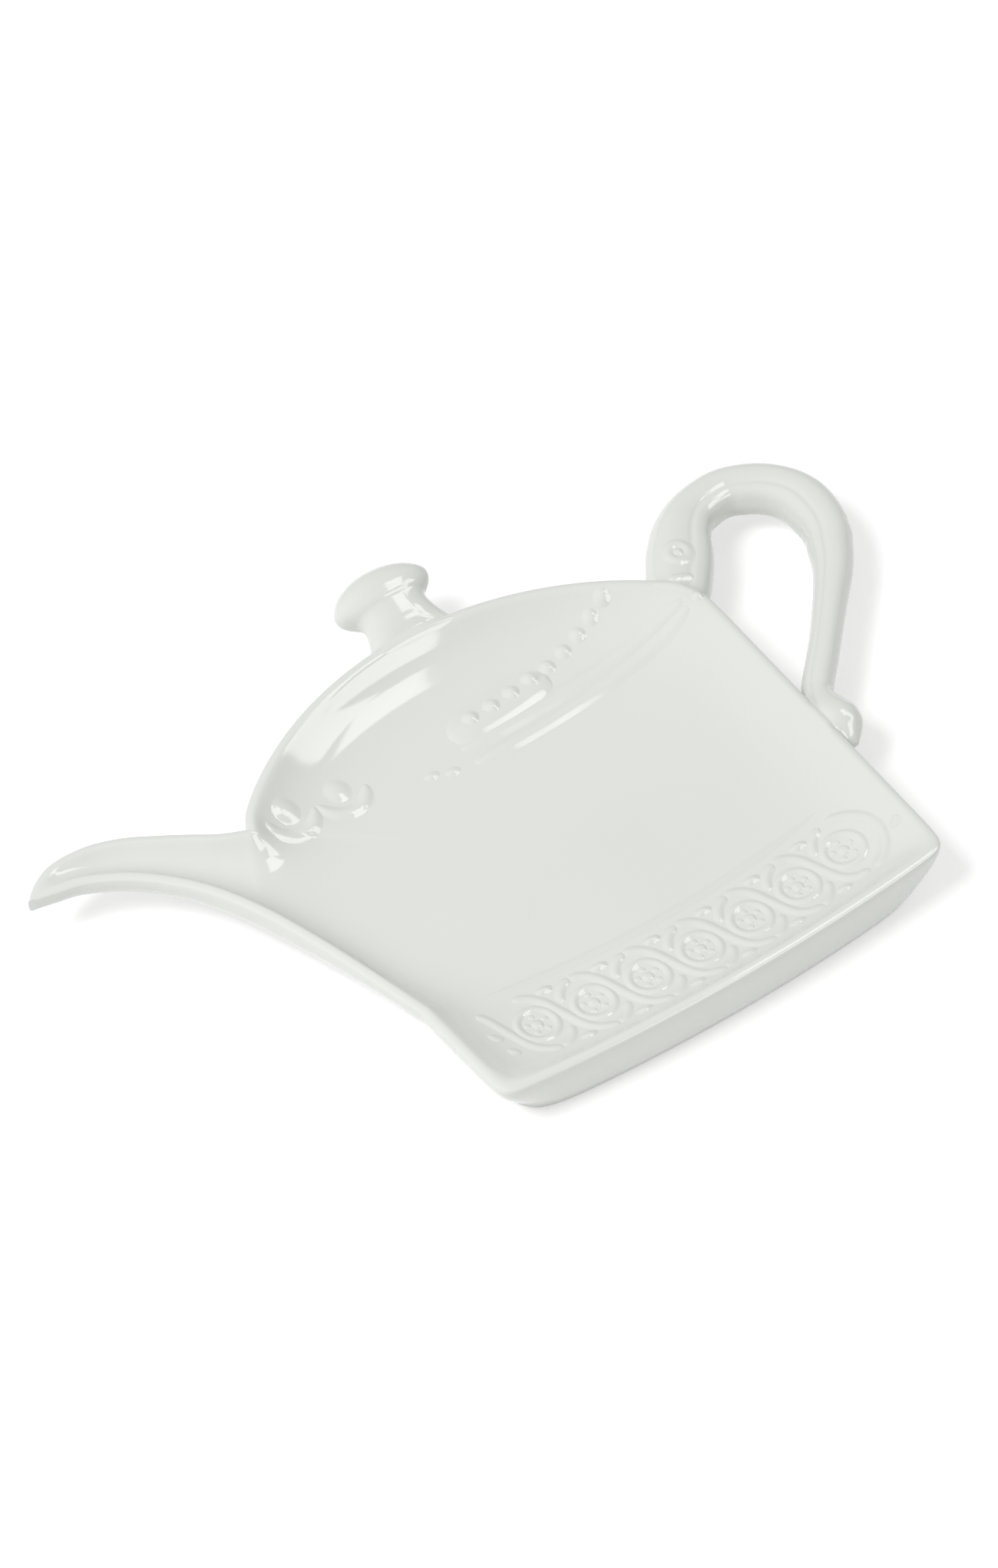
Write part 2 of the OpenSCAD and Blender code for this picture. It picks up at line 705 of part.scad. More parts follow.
module shoulder_discs() {
    color("#dcddd8")
        for (k = [0:bead_count - 1]) {
            x = pot_r * sin((k + first_bead_share) * bead_turn);
            bead(x, band_y(disc_inset, shoulder_sag, x), disc_r, shoulder_relief_h, disc_top_share);
        }
}

// Lobes: round bosses, each in a crescent, at the spout's end of the band
lobe_steps = 8;
lobe_bead_share = 0.5;
lobe_ridge_share = 0.8;
lobe_first_turn = -170;
lobe_sweep_turn = 160;
lobe_width_shares = [0.2, 0.6, 0.9, 1, 1, 1, 0.9, 0.6, 0.2];
module shoulder_lobes() {
    color("#dcddd8")
        for (k = [0:lobe_count - 1]) {
            x0 = lobe_x(k);
            y0 = half_len - lobe_inset;
            bead(x0, y0, lobe_r * lobe_bead_share, shoulder_relief_h, disc_top_share);
            ridge(
                [
                    for (i = [0:lobe_steps])
                        let (t = lobe_first_turn + lobe_sweep_turn * i / lobe_steps)
                        [x0 + lobe_r * cos(t), y0 + lobe_r * sin(t)]
                ],
                reed_w * lobe_ridge_share, shoulder_relief_h, widths = lobe_width_shares
            );
        }
}

// The middle of the whole outline stands over the origin
left_reach = spout_reach - mouth_top.x;
right_reach = shoulder_w / 2 + handle_reach + handle_w / 2;
module place() {
    translate([(left_reach - right_reach) / 2, -knob_len / 2, 0]) children();
}

place() body_dish();
place() foot_ring();
place() spout_trough();
place() lid_knob();
place() handle_scroll();
place() handle_loop();
place() handle_boss();
place() border_rings();
place() border_rosettes();
place() border_strands();
place() border_darts();
place() border_end_leaves();
place() border_edge_line();
place() shoulder_reeds();
place() shoulder_discs();
place() shoulder_lobes();
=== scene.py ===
"""Porcelain tea bag rest in the outline of a teapot: its looks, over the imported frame.

The forms are worked out in millimetres round the middle of the dish, as in the part's own
source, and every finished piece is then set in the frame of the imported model, in metres.
"""

import logging
import math
from collections.abc import Callable
from dataclasses import dataclass
from enum import Enum
from typing import Any

import bmesh
import bpy
import numpy as np
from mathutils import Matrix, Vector


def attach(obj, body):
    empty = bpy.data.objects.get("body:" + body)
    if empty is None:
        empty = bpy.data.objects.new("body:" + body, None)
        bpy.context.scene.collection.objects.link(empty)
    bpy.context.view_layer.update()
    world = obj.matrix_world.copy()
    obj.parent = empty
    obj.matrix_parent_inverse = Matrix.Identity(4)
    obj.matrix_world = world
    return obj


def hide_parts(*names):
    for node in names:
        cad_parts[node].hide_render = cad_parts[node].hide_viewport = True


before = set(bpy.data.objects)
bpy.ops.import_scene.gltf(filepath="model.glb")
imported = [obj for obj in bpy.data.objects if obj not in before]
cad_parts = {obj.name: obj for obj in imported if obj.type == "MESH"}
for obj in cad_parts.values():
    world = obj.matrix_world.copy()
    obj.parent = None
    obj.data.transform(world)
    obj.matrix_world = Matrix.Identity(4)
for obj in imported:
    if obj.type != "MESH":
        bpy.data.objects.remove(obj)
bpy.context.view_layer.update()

LOG = logging.getLogger("tea_bag_rest")
MM = 0.001
BODY = "root"

# Keeps a divisor off zero
TINY = 0.001
# How many points are measured against a line at once
POINTS_AT_ONCE = 4000
# How steep the sides of beads, drops, darts and lobes are
BEAD_FULLNESS = 1.2

Points = np.ndarray


# Shader maths


class Wire:
    """A number or colour socket of a node tree, with arithmetic that adds nodes."""

    def __init__(self, graph: "Graph", socket: bpy.types.NodeSocket) -> None:
        """Wraps a socket.

        Args:
            graph: the node tree that the socket is in.
            socket: the output socket.
        """
        self.graph = graph
        self.socket = socket

    def math(self, operation: str, *others: "Wire | float") -> "Wire":
        """Adds one Math node.

        Args:
            operation: the Math node's operation.
            others: the values that follow this one.

        Returns:
            The node's result.
        """
        values: dict[str | int, Any] = {0: self}
        values.update({i + 1: value for i, value in enumerate(others)})
        return self.graph.add("ShaderNodeMath", {"operation": operation}, values)

    def __add__(self, other: "Wire | float") -> "Wire":
        """This plus another."""
        return self.math("ADD", other)

    __radd__ = __add__

    def __mul__(self, other: "Wire | float") -> "Wire":
        """This times another."""
        return self.math("MULTIPLY", other)

    __rmul__ = __mul__

    def step(self, low: float, high: float) -> "Wire":
        """A smooth step from 0 to 1.

        Args:
            low: the value at which the step starts.
            high: the value at which it ends.

        Returns:
            The step.
        """
        values = {"Value": self, "From Min": low, "From Max": high}
        return self.graph.add("ShaderNodeMapRange", {"interpolation_type": "SMOOTHSTEP"}, values)


class Graph:
    """A material's node tree."""

    def __init__(self, name: str) -> None:
        """Makes a material and clears its tree.

        Args:
            name: the material's name.
        """
        self.material = bpy.data.materials.new(name)
        self.material.use_nodes = True
        self.tree = self.material.node_tree
        self.tree.nodes.clear()

    def add(
        self, kind: str, settings: dict[str, Any], values: dict[Any, Any], output: str | int = 0
    ) -> Wire:
        """Adds a node.

        Args:
            kind: the node's type.
            settings: attributes that are set first.
            values: values or wires for its sockets, by name or number.
            output: the socket that is given back.

        Returns:
            The output socket.
        """
        node = self.tree.nodes.new(kind)
        for name, value in settings.items():
            setattr(node, name, value)
        for name, value in values.items():
            if isinstance(value, Wire):
                self.tree.links.new(value.socket, node.inputs[name])
            else:
                node.inputs[name].default_value = value
        return Wire(self, node.outputs[output])

    def finish(self, surface: Wire) -> bpy.types.Material:
        """Joins a shader to the material's output.

        Args:
            surface: the shader.

        Returns:
            The finished material.
        """
        node = self.tree.nodes.new("ShaderNodeOutputMaterial")
        self.tree.links.new(surface.socket, node.inputs["Surface"])
        return self.material

    def place(self) -> Wire:
        """The point on the piece, in metres."""
        return self.add("ShaderNodeTexCoord", {}, {}, "Object")

    def noise(self, place: Wire, scale: float, detail: float) -> Wire:
        """Soft noise from 0 to 1.

        Args:
            place: where it is read.
            scale: how many times it turns over in a metre.
            detail: how many finer layers it has.

        Returns:
            The noise.
        """
        return self.add("ShaderNodeTexNoise", {}, {"Vector": place, "Scale": scale, "Detail": detail})

    def blend(self, share: "Wire | float", low: Any, high: Any) -> Wire:
        """Mixes two colours.

        Args:
            share: how much of the second colour shows.
            low: the first colour.
            high: the second colour.

        Returns:
            The mixed colour.
        """
        # The node has sockets for numbers too: those for colours are 6 and 7 in, and 2 out
        return self.add("ShaderNodeMix", {"data_type": "RGBA"}, {0: share, 6: low, 7: high}, 2)


class Shade(Enum):
    """How much painted shade greys the glaze of a form: none on open forms, a quarter share on the relief."""

    OPEN = 0.0
    # Painted shade: the relief's glaze is greyed by a quarter share
    RELIEF = 0.25


@dataclass(frozen=True)
class PorcelainGlaze:
    """Clear glossy glaze over white porcelain, a little greyer at random where it pools, and greyed by
    painted shade on the relief.
    """

    white: tuple[float, ...] = (0.808, 0.822, 0.783, 1.0)
    # The greyer glaze: real pooling where the drift mixes it in, painted shade where the relief's share does
    pooled_and_shaded: tuple[float, ...] = (0.755, 0.77, 0.727, 1.0)
    roughness: float = 0.07
    ior: float = 1.5
    drift_per_m: float = 26.0
    drift_span: tuple[float, float] = (0.35, 0.75)
    drift_colour: float = 0.3
    drift_roughness: float = 0.02
    ripple_per_m: float = 85.0
    ripple_depth: float = 0.00004
    grain_per_m: float = 900.0
    grain_share: float = 0.015

    def material(self, shade: Shade) -> bpy.types.Material:
        """Builds the material.

        Args:
            shade: how much painted shade greys the glaze.

        Returns:
            The material.
        """
        graph = Graph("porcelain_glaze_" + shade.name.lower())
        place = graph.place()
        drift = graph.noise(place, self.drift_per_m, 3.0).step(*self.drift_span)
        ripple = graph.noise(place, self.ripple_per_m, 1.0)
        height = ripple + graph.noise(place, self.grain_per_m, 2.0) * self.grain_share
        bump = graph.add("ShaderNodeBump", {}, {"Distance": self.ripple_depth, "Height": height})
        # Random drift greys the glaze where it pools; the shade's share adds painted shade over the whole
        # relief
        drift_and_painted_shade = drift * self.drift_colour + shade.value
        values = {
            "Base Color": graph.blend(drift_and_painted_shade, self.white, self.pooled_and_shaded),
            "Roughness": drift * self.drift_roughness + self.roughness,
            "Normal": bump,
            "IOR": self.ior,
        }
        return graph.finish(graph.add("ShaderNodeBsdfPrincipled", {}, values))


@dataclass(frozen=True)
class BarePorcelain:
    """The unglazed face that the foot stands on."""

    colour: tuple[float, ...] = (0.78, 0.77, 0.73, 1.0)
    worn: tuple[float, ...] = (0.6, 0.58, 0.53, 1.0)
    roughness: float = 0.7
    wear_per_m: float = 160.0
    wear_span: tuple[float, float] = (0.5, 0.8)
    wear_colour: float = 0.5
    wear_roughness: float = -0.15
    grain_per_m: float = 2500.0
    grain_depth: float = 0.00005

    def material(self) -> bpy.types.Material:
        """Builds the material.

        Returns:
            The material.
        """
        graph = Graph("bare_porcelain")
        place = graph.place()
        wear = graph.noise(place, self.wear_per_m, 4.0).step(*self.wear_span)
        grain = graph.noise(place, self.grain_per_m, 3.0)
        bump = graph.add("ShaderNodeBump", {}, {"Distance": self.grain_depth, "Height": grain})
        values = {
            "Base Color": graph.blend(wear * self.wear_colour, self.colour, self.worn),
            "Roughness": wear * self.wear_roughness + self.roughness,
            "Normal": bump,
        }
        return graph.finish(graph.add("ShaderNodeBsdfPrincipled", {}, values))


# Plane curves


def through(rows: list[tuple[float, ...]], at: float) -> Points:
    """Reads a table of stations along a smooth curve.

    Args:
        rows: the stations.
        at: the place, counted in rows.

    Returns:
        The values there.
    """
    table = np.array(rows)
    i = min(int(at), len(rows) - 2)
    s = at - i
    a, b, c, d = (table[max(0, min(len(rows) - 1, k))] for k in (i - 1, i, i + 1, i + 2))
    return b + s * ((c - a) / 2 + s * ((2 * a - 5 * b + 4 * c - d) / 2 + s * (3 * b - a - 3 * c + d) / 2))


def nearest_on(line: Points, points: Points) -> tuple[Points, Points]:
    """Distance from points to a line of short straight steps, and where on it they are nearest.

    Args:
        line: the line's points.
        points: the points to measure from.

    Returns:
        One distance, and the number of one point of the line, for each point.
    """
    found, numbers = [], []
    for part in np.array_split(points, max(1, len(points) // POINTS_AT_ONCE)):
        gaps = ((part[:, None, :] - line[None, :, :]) ** 2).sum(axis=2)
        near = gaps.argmin(axis=1)
        best = gaps.min(axis=1)
        for start in (np.maximum(near - 1, 0), np.minimum(near, len(line) - 2)):
            a, step = line[start], line[start + 1] - line[start]
            share = np.clip(((part - a) * step).sum(axis=1) / (step**2).sum(axis=1), 0, 1)
            best = np.minimum(best, ((part - a - share[:, None] * step) ** 2).sum(axis=1))
        found.append(np.sqrt(best))
        numbers.append(near)
    return np.concatenate(found), np.concatenate(numbers)


def joined(*lines: tuple[Points, float], reach: int = 20) -> tuple[Points, Points]:
    """Joins lines end to end, with a value that runs smoothly from each to the next.

    Args:
        lines: each line's points and its value; each starts where the one before ends.
        reach: how many points to each side a value is averaged over.

    Returns:
        The whole line's points, and the value at each.
    """
    parts = [line if i == 0 else line[1:] for i, (line, _) in enumerate(lines)]
    values = np.concatenate([np.full(len(part), value) for part, (_, value) in zip(parts, lines)])
    window = np.ones(2 * reach + 1) / (2 * reach + 1)
    return np.concatenate(parts), np.convolve(np.pad(values, reach, mode="edge"), window, "valid")


def packed(even: Points, packing: float) -> Points:
    """Even shares from 0 to 1, packed towards both ends."""
    return even - packing * np.sin(2 * math.pi * even) / (2 * math.pi)


def arc(x: float, y: float, radius: float, start: float, end: float, steps: int) -> Points:
    """Places along an arc.

    Args:
        x: its middle's place across.
        y: its middle's place up.
        radius: its radius.
        start: its first turn in degrees.
        end: its last turn in degrees.
        steps: how many places.

    Returns:
        The places in plan.
    """
    turns = np.radians(np.linspace(start, end, steps))
    return np.stack([x + radius * np.cos(turns), y + radius * np.sin(turns)], axis=1)


@dataclass
class TeapotPlan:
    """The outline of the rest and the surface inside it, in millimetres."""

    base_w: float = 83.0
    shoulder_w: float = 86.8
    body_len: float = 86.0
    lid_r: float = 61.0
    base_r: float = 360.0
    corner_sharpness: float = 34.0
    foot_sharpness: float = 15.0
    rim_h: float = 12.0
    floor_h: float = 6.4
    cup_rise: float = 1.0
    lip_w: float = 1.1
    lip_drop: float = 0.5
    lip_ease: float = 0.7
    band_h: float = 0.6
    foot_h: float = 3.0
    front_inset: float = 1.2
    side_inset: float = 5.6
    corner_hold: float = 0.5
    foot_shift: float = 1.6
    wall_bow: float = 1.5
    wall_curl: float = 4.8
    base_curl: float = 2.8
    spout_curl: float = 2.2
    spout_reach: float = 35.2
    spout_mouth: float = 45.0
    spout_crest: float = 11.7
    spout_lift: float = 52.0
    spout_ease: float = 0.9
    knob_len: float = 12.6
    reach_beyond: float = 30.9
    root_proud: float = 0.1
    root_start: float = 1.3
    root_run: float = 1.7
    root_cover: float = 0.6
    root_fullness: float = 0.4
    root_fall: float = 1.4

    def __post_init__(self) -> None:
        """Works out the corners, the turns at which they lie, and the edges."""
        half = self.body_len / 2
        self.lid_mid_y = half - self.lid_r
        self.base_mid_y = self.base_r - half
        self.shoulder_y = self.lid_mid_y + math.sqrt(self.lid_r**2 - self.shoulder_w**2 / 4)
        corner_y = self.base_mid_y - math.sqrt(self.base_r**2 - self.base_w**2 / 4)
        self.flare = (self.shoulder_w - self.base_w) / 2 / (self.shoulder_y - corner_y)
        self.mid_half_w = self.base_w / 2 - self.flare * corner_y
        self.base_turn = math.degrees(math.atan2(corner_y, self.base_w / 2))
        self.shoulder_turn = math.degrees(math.atan2(self.shoulder_y, self.shoulder_w / 2))
        self.mouth_top_turn = 180 - self.shoulder_turn
        self.mouth_top = self.rim(np.array([self.mouth_top_turn]))[0]
        low_y = self.mouth_top[1] - self.spout_mouth
        self.mouth_low_turn = self.turn_of(np.array([[-self.side_x(low_y), low_y]]))[0]
        self.mouth_low = self.rim(np.array([self.mouth_low_turn]))[0]
        self.base_end_turn = 180 - self.base_turn
        side = self.rim(np.linspace(self.base_turn, self.shoulder_turn, 200))
        lid = self.rim(np.linspace(self.shoulder_turn, self.mouth_top_turn, 260))
        upper = self.spout_edge(True, np.linspace(0, LAST_SPOUT_ROW, 160))
        lower = self.spout_edge(False, np.linspace(LAST_SPOUT_ROW, 0, 200))
        low_side = self.rim(np.linspace(self.mouth_low_turn, self.base_end_turn, 80))
        base = self.rim(np.linspace(self.base_end_turn, self.base_turn + 360, 220))
        self.edges = [
            joined((side, self.wall_curl)),
            joined((lid, self.wall_curl), (upper, self.spout_curl)),
            joined((lower, self.spout_curl), (low_side, self.wall_curl)),
            joined((base, self.base_curl)),
        ]

    @property
    def band_top(self) -> float:
        """Height of the rim's outer edge."""
        return self.rim_h - self.lip_drop

    @property
    def band_low(self) -> float:
        """Height at which the outer wall starts to draw in."""
        return self.band_top - self.band_h

    def side_x(self, y: float) -> float:
        """Half the width of the dish at a height in plan."""
        return self.mid_half_w + self.flare * y

    def turn_of(self, places: Points) -> Points:
        """Turns of places, in degrees from the right end of the base upwards."""
        turns = np.degrees(np.arctan2(places[:, 1], places[:, 0]))
        return (turns + 360 - self.base_turn) % 360 + self.base_turn

    def reach(self, turns: Points, sharpness: float | None = None) -> Points:
        """Reach of the rim's outer edge at turns: the nearest edge leads, the next rounds it off.

        Args:
            turns: turns in degrees.
            sharpness: how sharp its corners are, where that isn't the rim's own.

        Returns:
            One reach for each turn.
        """
        c, s = np.cos(np.radians(turns)), np.sin(np.radians(turns))
        side = self.mid_half_w / np.maximum(np.abs(c) - self.flare * s, TINY)
        arcs = [
            y * s + np.sqrt(np.maximum((y * s) ** 2 - y * y + r * r, 0))
            for y, r in ((self.lid_mid_y, self.lid_r), (self.base_mid_y, self.base_r))
        ]
        found = np.array([side, *arcs])
        nearest = found.min(axis=0)
        sharpness = sharpness or self.corner_sharpness
        return nearest * ((nearest / found) ** sharpness).sum(axis=0) ** (-1 / sharpness)

    def rim(self, turns: Points, inset: float = 0.0) -> Points:
        """Places on the rim, or on a ring inside it.

        Args:
            turns: turns in degrees.
            inset: how far inside the rim.

        Returns:
            One place for each turn.
        """
        radians = np.radians(turns)
        reach = self.reach(turns) - inset
        return np.stack([reach * np.cos(radians), reach * np.sin(radians)], axis=1)

    def spout_edge(self, upper: bool, ats: Points) -> Points:
        """Places along an edge of the spout.

        Args:
            upper: the upper edge, or the lower one.
            ats: places counted in rows of the spout's table.

        Returns:
            One place for each.
        """
        rows = np.array([through(SPOUT_ROWS, at) for at in ats])
        if upper:
            return self.mouth_top + rows[:, 0:2] * [-self.spout_reach, self.spout_crest]
        reach = self.spout_reach + self.mouth_top[0] - self.mouth_low[0]
        return self.mouth_low + rows[:, 2:4] * [-reach, self.spout_lift]

    def floor(self, places: Points) -> Points:
        """Height of the floor under places: cupped across the dish, easing up along the spout.

        Args:
            places: places in plan.

        Returns:
            One height for each place.
        """
        share = np.abs(places[:, 0]) / self.mid_half_w
        over = np.maximum(share - 1, 0)
        rise = np.where(share < 1, share**2, 1 + 2 * over - self.spout_ease * over**2)
        return self.floor_h + self.cup_rise * rise

    def surface(self, places: Points) -> Points:
        """Height of the upper surface: floor, curled walls and rounded rim.

        Args:
            places: places in plan.

        Returns:
            One height for each place.
        """
        places = np.asarray(places, float).reshape(-1, 2)
        clear = np.ones(len(places))
        nearest = np.full(len(places), np.inf)
        for line, curls in self.edges:
            gap, near = nearest_on(line, places)
            inside = np.maximum(gap - self.lip_w, 0)
            eased = np.sqrt(inside**2 + self.lip_ease**2) - self.lip_ease
            clear *= 1 - np.exp(-eased / curls[near])
            nearest = np.minimum(nearest, gap)
        floor = self.floor(places)
        lip = np.clip(1 - nearest / self.lip_w, 0, 1)
        return floor + (self.rim_h - floor) * (1 - clear) - self.lip_drop * (1 - np.sqrt(1 - lip**2))

    def drawn(self, places: Points, draw: Points) -> Points:
        """Places on the rim drawn in to the outer wall.

        Args:
            places: places on the rim.
            draw: how far, from 0 at the band to 1 at the foot.

        Returns:
            The places on the wall.
        """
        turns = self.turn_of(places)
        cut = 1 - self.reach(turns, self.foot_sharpness) / self.reach(turns)
        rounded = 1 - draw * self.front(turns) * cut
        x = places[:, 0] * rounded * (1 - draw * self.side_share(turns)) + draw * self.foot_shift
        y = places[:, 1] * rounded * (1 - draw * self.front_inset / (self.body_len / 2))
        return np.stack([x, y], axis=1)

    @staticmethod
    def front(turns: Points) -> Points:
        """How far turns lie towards the base edge, from 0 at the sides to 1 at its corners."""
        return np.clip(-2 * np.sin(np.radians(turns)), 0, 1)

    def side_share(self, turns: Points) -> Points:
        """Share by which the foot's sides are drawn in, less at the corners of the base."""
        return self.side_inset / self.mid_half_w * (1 - self.corner_hold * self.front(turns))

    def outside(self, points: Points) -> Points:
        """Points kept out of the dish: one that would lie in the wall is set on its surface.

        Args:
            points: points in space.

        Returns:
            The points, moved where they were inside.
        """
        share = np.clip((points[:, 2] - self.foot_h) / (self.band_low - self.foot_h), 0, 1)
        draw = (1 - share) ** self.wall_bow
        side_share = self.side_share(self.turn_of(points[:, :2]))
        x = (points[:, 0] - draw * self.foot_shift) / (1 - draw * side_share)
        y = points[:, 1] / (1 - draw * self.front_inset / (self.body_len / 2))
        turns = self.turn_of(np.stack([x, y], axis=1))
        inside = np.hypot(x, y) < self.reach(turns)
        wall = np.column_stack([self.drawn(self.rim(turns), draw), points[:, 2]])
        return np.where(inside[:, None], wall, points)

    def over_rim(self, ring: Points) -> Points:
        """A section of a root: its upper side runs over the rim and out into the dish.

        Args:
            ring: the section's points.

        Returns:
            The section's points, laid on the dish where they are over it.
        """
        depth = self.reach(self.turn_of(ring[:, :2])) - np.hypot(ring[:, 0], ring[:, 1])
        laid = np.clip((depth + self.root_start) / (2 * self.root_start), 0, 1)
        laid = laid * laid * (3 - 2 * laid)
        middle = (ring[:, 2].max() + ring[:, 2].min()) / 2
        upper = np.clip((ring[:, 2] - middle) / (ring[:, 2].max() - middle), 0, 1)
        sunk = self.root_proud * np.clip(1 - depth / self.root_run, -1, 1)
        cover = np.clip(1 - (np.maximum(depth, 0) / (2 * self.lip_w)) ** 2, 0, 1)
        lying = self.surface(ring[:, :2]) + self.lip_drop * laid * cover * self.root_cover + sunk
        lying += (upper**self.root_fullness - 1) * self.root_fall
        found = self.outside(ring)
        over = (upper > 0) & (laid > 0)
        found[over, :2] = ring[over, :2]
        found[over, 2] = (ring[:, 2] * (1 - laid) + lying * laid)[over]
        return found

    def keel(self, shares: Points, depth: float, fullness: float) -> Points:
        """Height of the spout's underside across it.

        Args:
            shares: shares across, from the upper edge.
            depth: depth under the rim's band.
            fullness: from a sharp keel at 1 to a full belly above 2.

        Returns:
            One height for each share.
        """
        bare = np.maximum(0, 1 - np.abs(1 - 2 * shares) ** fullness)
        return self.band_low - depth * bare ** (1 / fullness)

    def set_in_frame(self, points: Points) -> Points:
        """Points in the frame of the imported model.

        Args:
            points: points in millimetres.

        Returns:
            The points in metres.
        """
        left = self.spout_reach - self.mouth_top[0]
        right = self.shoulder_w / 2 + self.reach_beyond
        return (points + [(left - right) / 2, -self.knob_len / 2, 0]) * MM


# Rows of the spout: upper edge along and up, lower edge along and up, depth, fullness of the underside
SPOUT_ROWS = [
    (0, 0, 0, 0, 1, 1.35),
    (0.11, 0.154, 0.077, 0.213, 0.98, 1.35),
    (0.21, 0.36, 0.156, 0.406, 0.93, 1.4),
    (0.324, 0.58, 0.25, 0.59, 0.85, 1.45),
    (0.466, 0.83, 0.375, 0.75, 0.76, 1.55),
    (0.622, 0.985, 0.551, 0.882, 0.65, 1.75),
    (0.793, 0.99, 0.736, 0.96, 0.5, 2.0),
    (0.906, 0.84, 0.878, 0.985, 0.38, 2.2),
    (0.986, 0.63, 0.98, 1, 0.22, 2.4),
]
LAST_SPOUT_ROW = len(SPOUT_ROWS) - 1


# Pieces


class Piece:
    """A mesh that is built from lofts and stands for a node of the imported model."""

    sharp_angle = 45.0
    # Relief: how deep it is rooted, the share of its height that is sunk, the share of its width
    # left at an open end, and how far its skirt runs out to each side, as a share of its width
    root_depth = 0.6
    sunk_share = 0.06
    least_end = 0.04
    skirt_share = 0.8
    across_points = 11
    mound_points = 28
    mound_shares = (1.0, 1.0, 0.9, 0.78, 0.64, 0.5, 0.36, 0.22, 0.08)

    def __init__(self, plan: TeapotPlan, node: str) -> None:
        """Starts an empty mesh.

        Args:
            plan: the plan of the rest.
            node: the node that the piece stands for.
        """
        self.plan = plan
        self.node = node
        self.mesh = bmesh.new()

    def loft(self, rings: list[Points], closed: bool = False) -> None:
        """Adds a skin through rings of points by extruding a loop from one to the next.

        Args:
            rings: rings with the same number of points, in millimetres.
            closed: joins the last ring to the first, instead of closing both ends.
        """
        mesh = self.mesh
        placed = [self.plan.set_in_frame(np.asarray(ring, float)) for ring in rings]
        made = bmesh.ops.create_circle(mesh, cap_ends=False, segments=len(placed[0]), radius=1)
        loop = list(made["verts"])
        for vert, point in zip(loop, placed[0]):
            vert.co = point
        first_edges = self._edges_of(loop)
        edges = first_edges
        for ring in placed[1:]:
            made = bmesh.ops.extrude_edge_only(mesh, edges=edges)
            fresh = {item for item in made["geom"] if isinstance(item, bmesh.types.BMVert)}
            loop = [
                next(edge.other_vert(vert) for edge in vert.link_edges if edge.other_vert(vert) in fresh)
                for vert in loop
            ]
            for vert, point in zip(loop, ring):
                vert.co = point
            edges = self._edges_of(loop)
        if closed:
            bmesh.ops.bridge_loops(mesh, edges=first_edges + edges)
        else:
            bmesh.ops.contextual_create(mesh, geom=first_edges)
            bmesh.ops.contextual_create(mesh, geom=edges)

    @staticmethod
    def _edges_of(loop: list[bmesh.types.BMVert]) -> list[bmesh.types.BMEdge]:
        """The edges round a loop of vertices."""
        pairs = zip(loop, loop[1:] + loop[:1])
        return [next(edge for edge in a.link_edges if edge.other_vert(a) is b) for a, b in pairs]

    def ridge(
        self,
        path: Points,
        width: float,
        height: float,
        ends: float = 1.0,
        closed: bool = False,
        ground: Callable[[Points], Points] | None = None,
    ) -> None:
        """Adds a soft ridge that lies on the surface of the dish and runs out into it.

        Args:
            path: places along its middle line.
            width: its visible width.
            height: its height.
            ends: length over which an open end runs out, as a share of the width.
            closed: the path is a closed loop.
            ground: gives the heights that it lies on, where that isn't the dish.
        """
        path = np.asarray(path, float)
        if closed:
            along = np.roll(path, -1, axis=0) - np.roll(path, 1, axis=0)
            shares = np.ones(len(path))
        else:
            along = np.gradient(path, axis=0)
            run = np.concatenate([[0], np.cumsum(np.hypot(*np.diff(path, axis=0).T))])
            left = np.clip(np.minimum(run, run[-1] - run) / (width * ends), 0, 1)
            shares = np.sqrt(left * (2 - left)) * (1 - self.least_end) + self.least_end
        across = np.stack([-along[:, 1], along[:, 0]], axis=1) / np.hypot(*along.T)[:, None]
        offsets = np.linspace(-1, 1, self.across_points)
        bell = (1 - offsets**2) ** 2
        spread = offsets[None, :, None] * shares[:, None, None] * width * self.skirt_share
        places = path[:, None, :] + across[:, None, :] * spread
        heights = (ground or self.plan.surface)(places.reshape(-1, 2)).reshape(len(path), len(offsets))
        sunk = height * self.sunk_share
        root = min(height, self.root_depth)
        rings = []
        for place, base, share in zip(places, heights, shares):
            top = np.column_stack([place, base + bell * height * share - sunk])
            under = np.column_stack([place[[-1, 0]], base[[-1, 0]] - root])
            rings.append(np.vstack([top, under]))
        self.loft(rings, closed)

    def mound(
        self,
        middle: tuple[float, float],
        radius: float,
        height: float,
        fullness: float = 2.0,
        narrow: float = 1.0,
        ground: Callable[[Points], Points] | None = None,
    ) -> None:
        """Adds a soft mound on the surface of the dish, or on other ground.

        Args:
            middle: its middle in plan.
            radius: its half length.
            height: its height.
            fullness: how steep its sides are.
            narrow: its width as a share of its length.
            ground: gives the heights that it lies on, where that isn't the dish.
        """
        turns = np.radians(np.arange(self.mound_points) * 360 / self.mound_points)
        rings = []
        for share in self.mound_shares:
            places = np.stack([np.cos(turns), np.sin(turns) * narrow], axis=1) * radius * share + middle
            lift = (1 - share ** (2 * fullness)) ** 2 * height - self.sunk_share * height
            rings.append(np.column_stack([places, (ground or self.plan.surface)(places) + lift]))
        rings[0][:, 2] -= min(height, self.root_depth)
        self.loft(rings)

    def finish(self, *materials: bpy.types.Material) -> None:
        """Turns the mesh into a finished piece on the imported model's body.

        Args:
            materials: its materials, the first for all faces that aren't marked.
        """
        bmesh.ops.recalc_face_normals(self.mesh, faces=self.mesh.faces[:])
        for face in self.mesh.faces:
            face.smooth = True
        data = bpy.data.meshes.new(self.node + "_porcelain")
        self.mesh.to_mesh(data)
        self.mesh.free()
        for material in materials:
            data.materials.append(material)
        data.set_sharp_from_angle(angle=math.radians(self.sharp_angle))
        piece = bpy.data.objects.new(self.node + "_porcelain", data)
        bpy.context.scene.collection.objects.link(piece)
        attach(piece, BODY)
        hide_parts(self.node)
        LOG.info("%s: %d faces", piece.name, len(data.polygons))


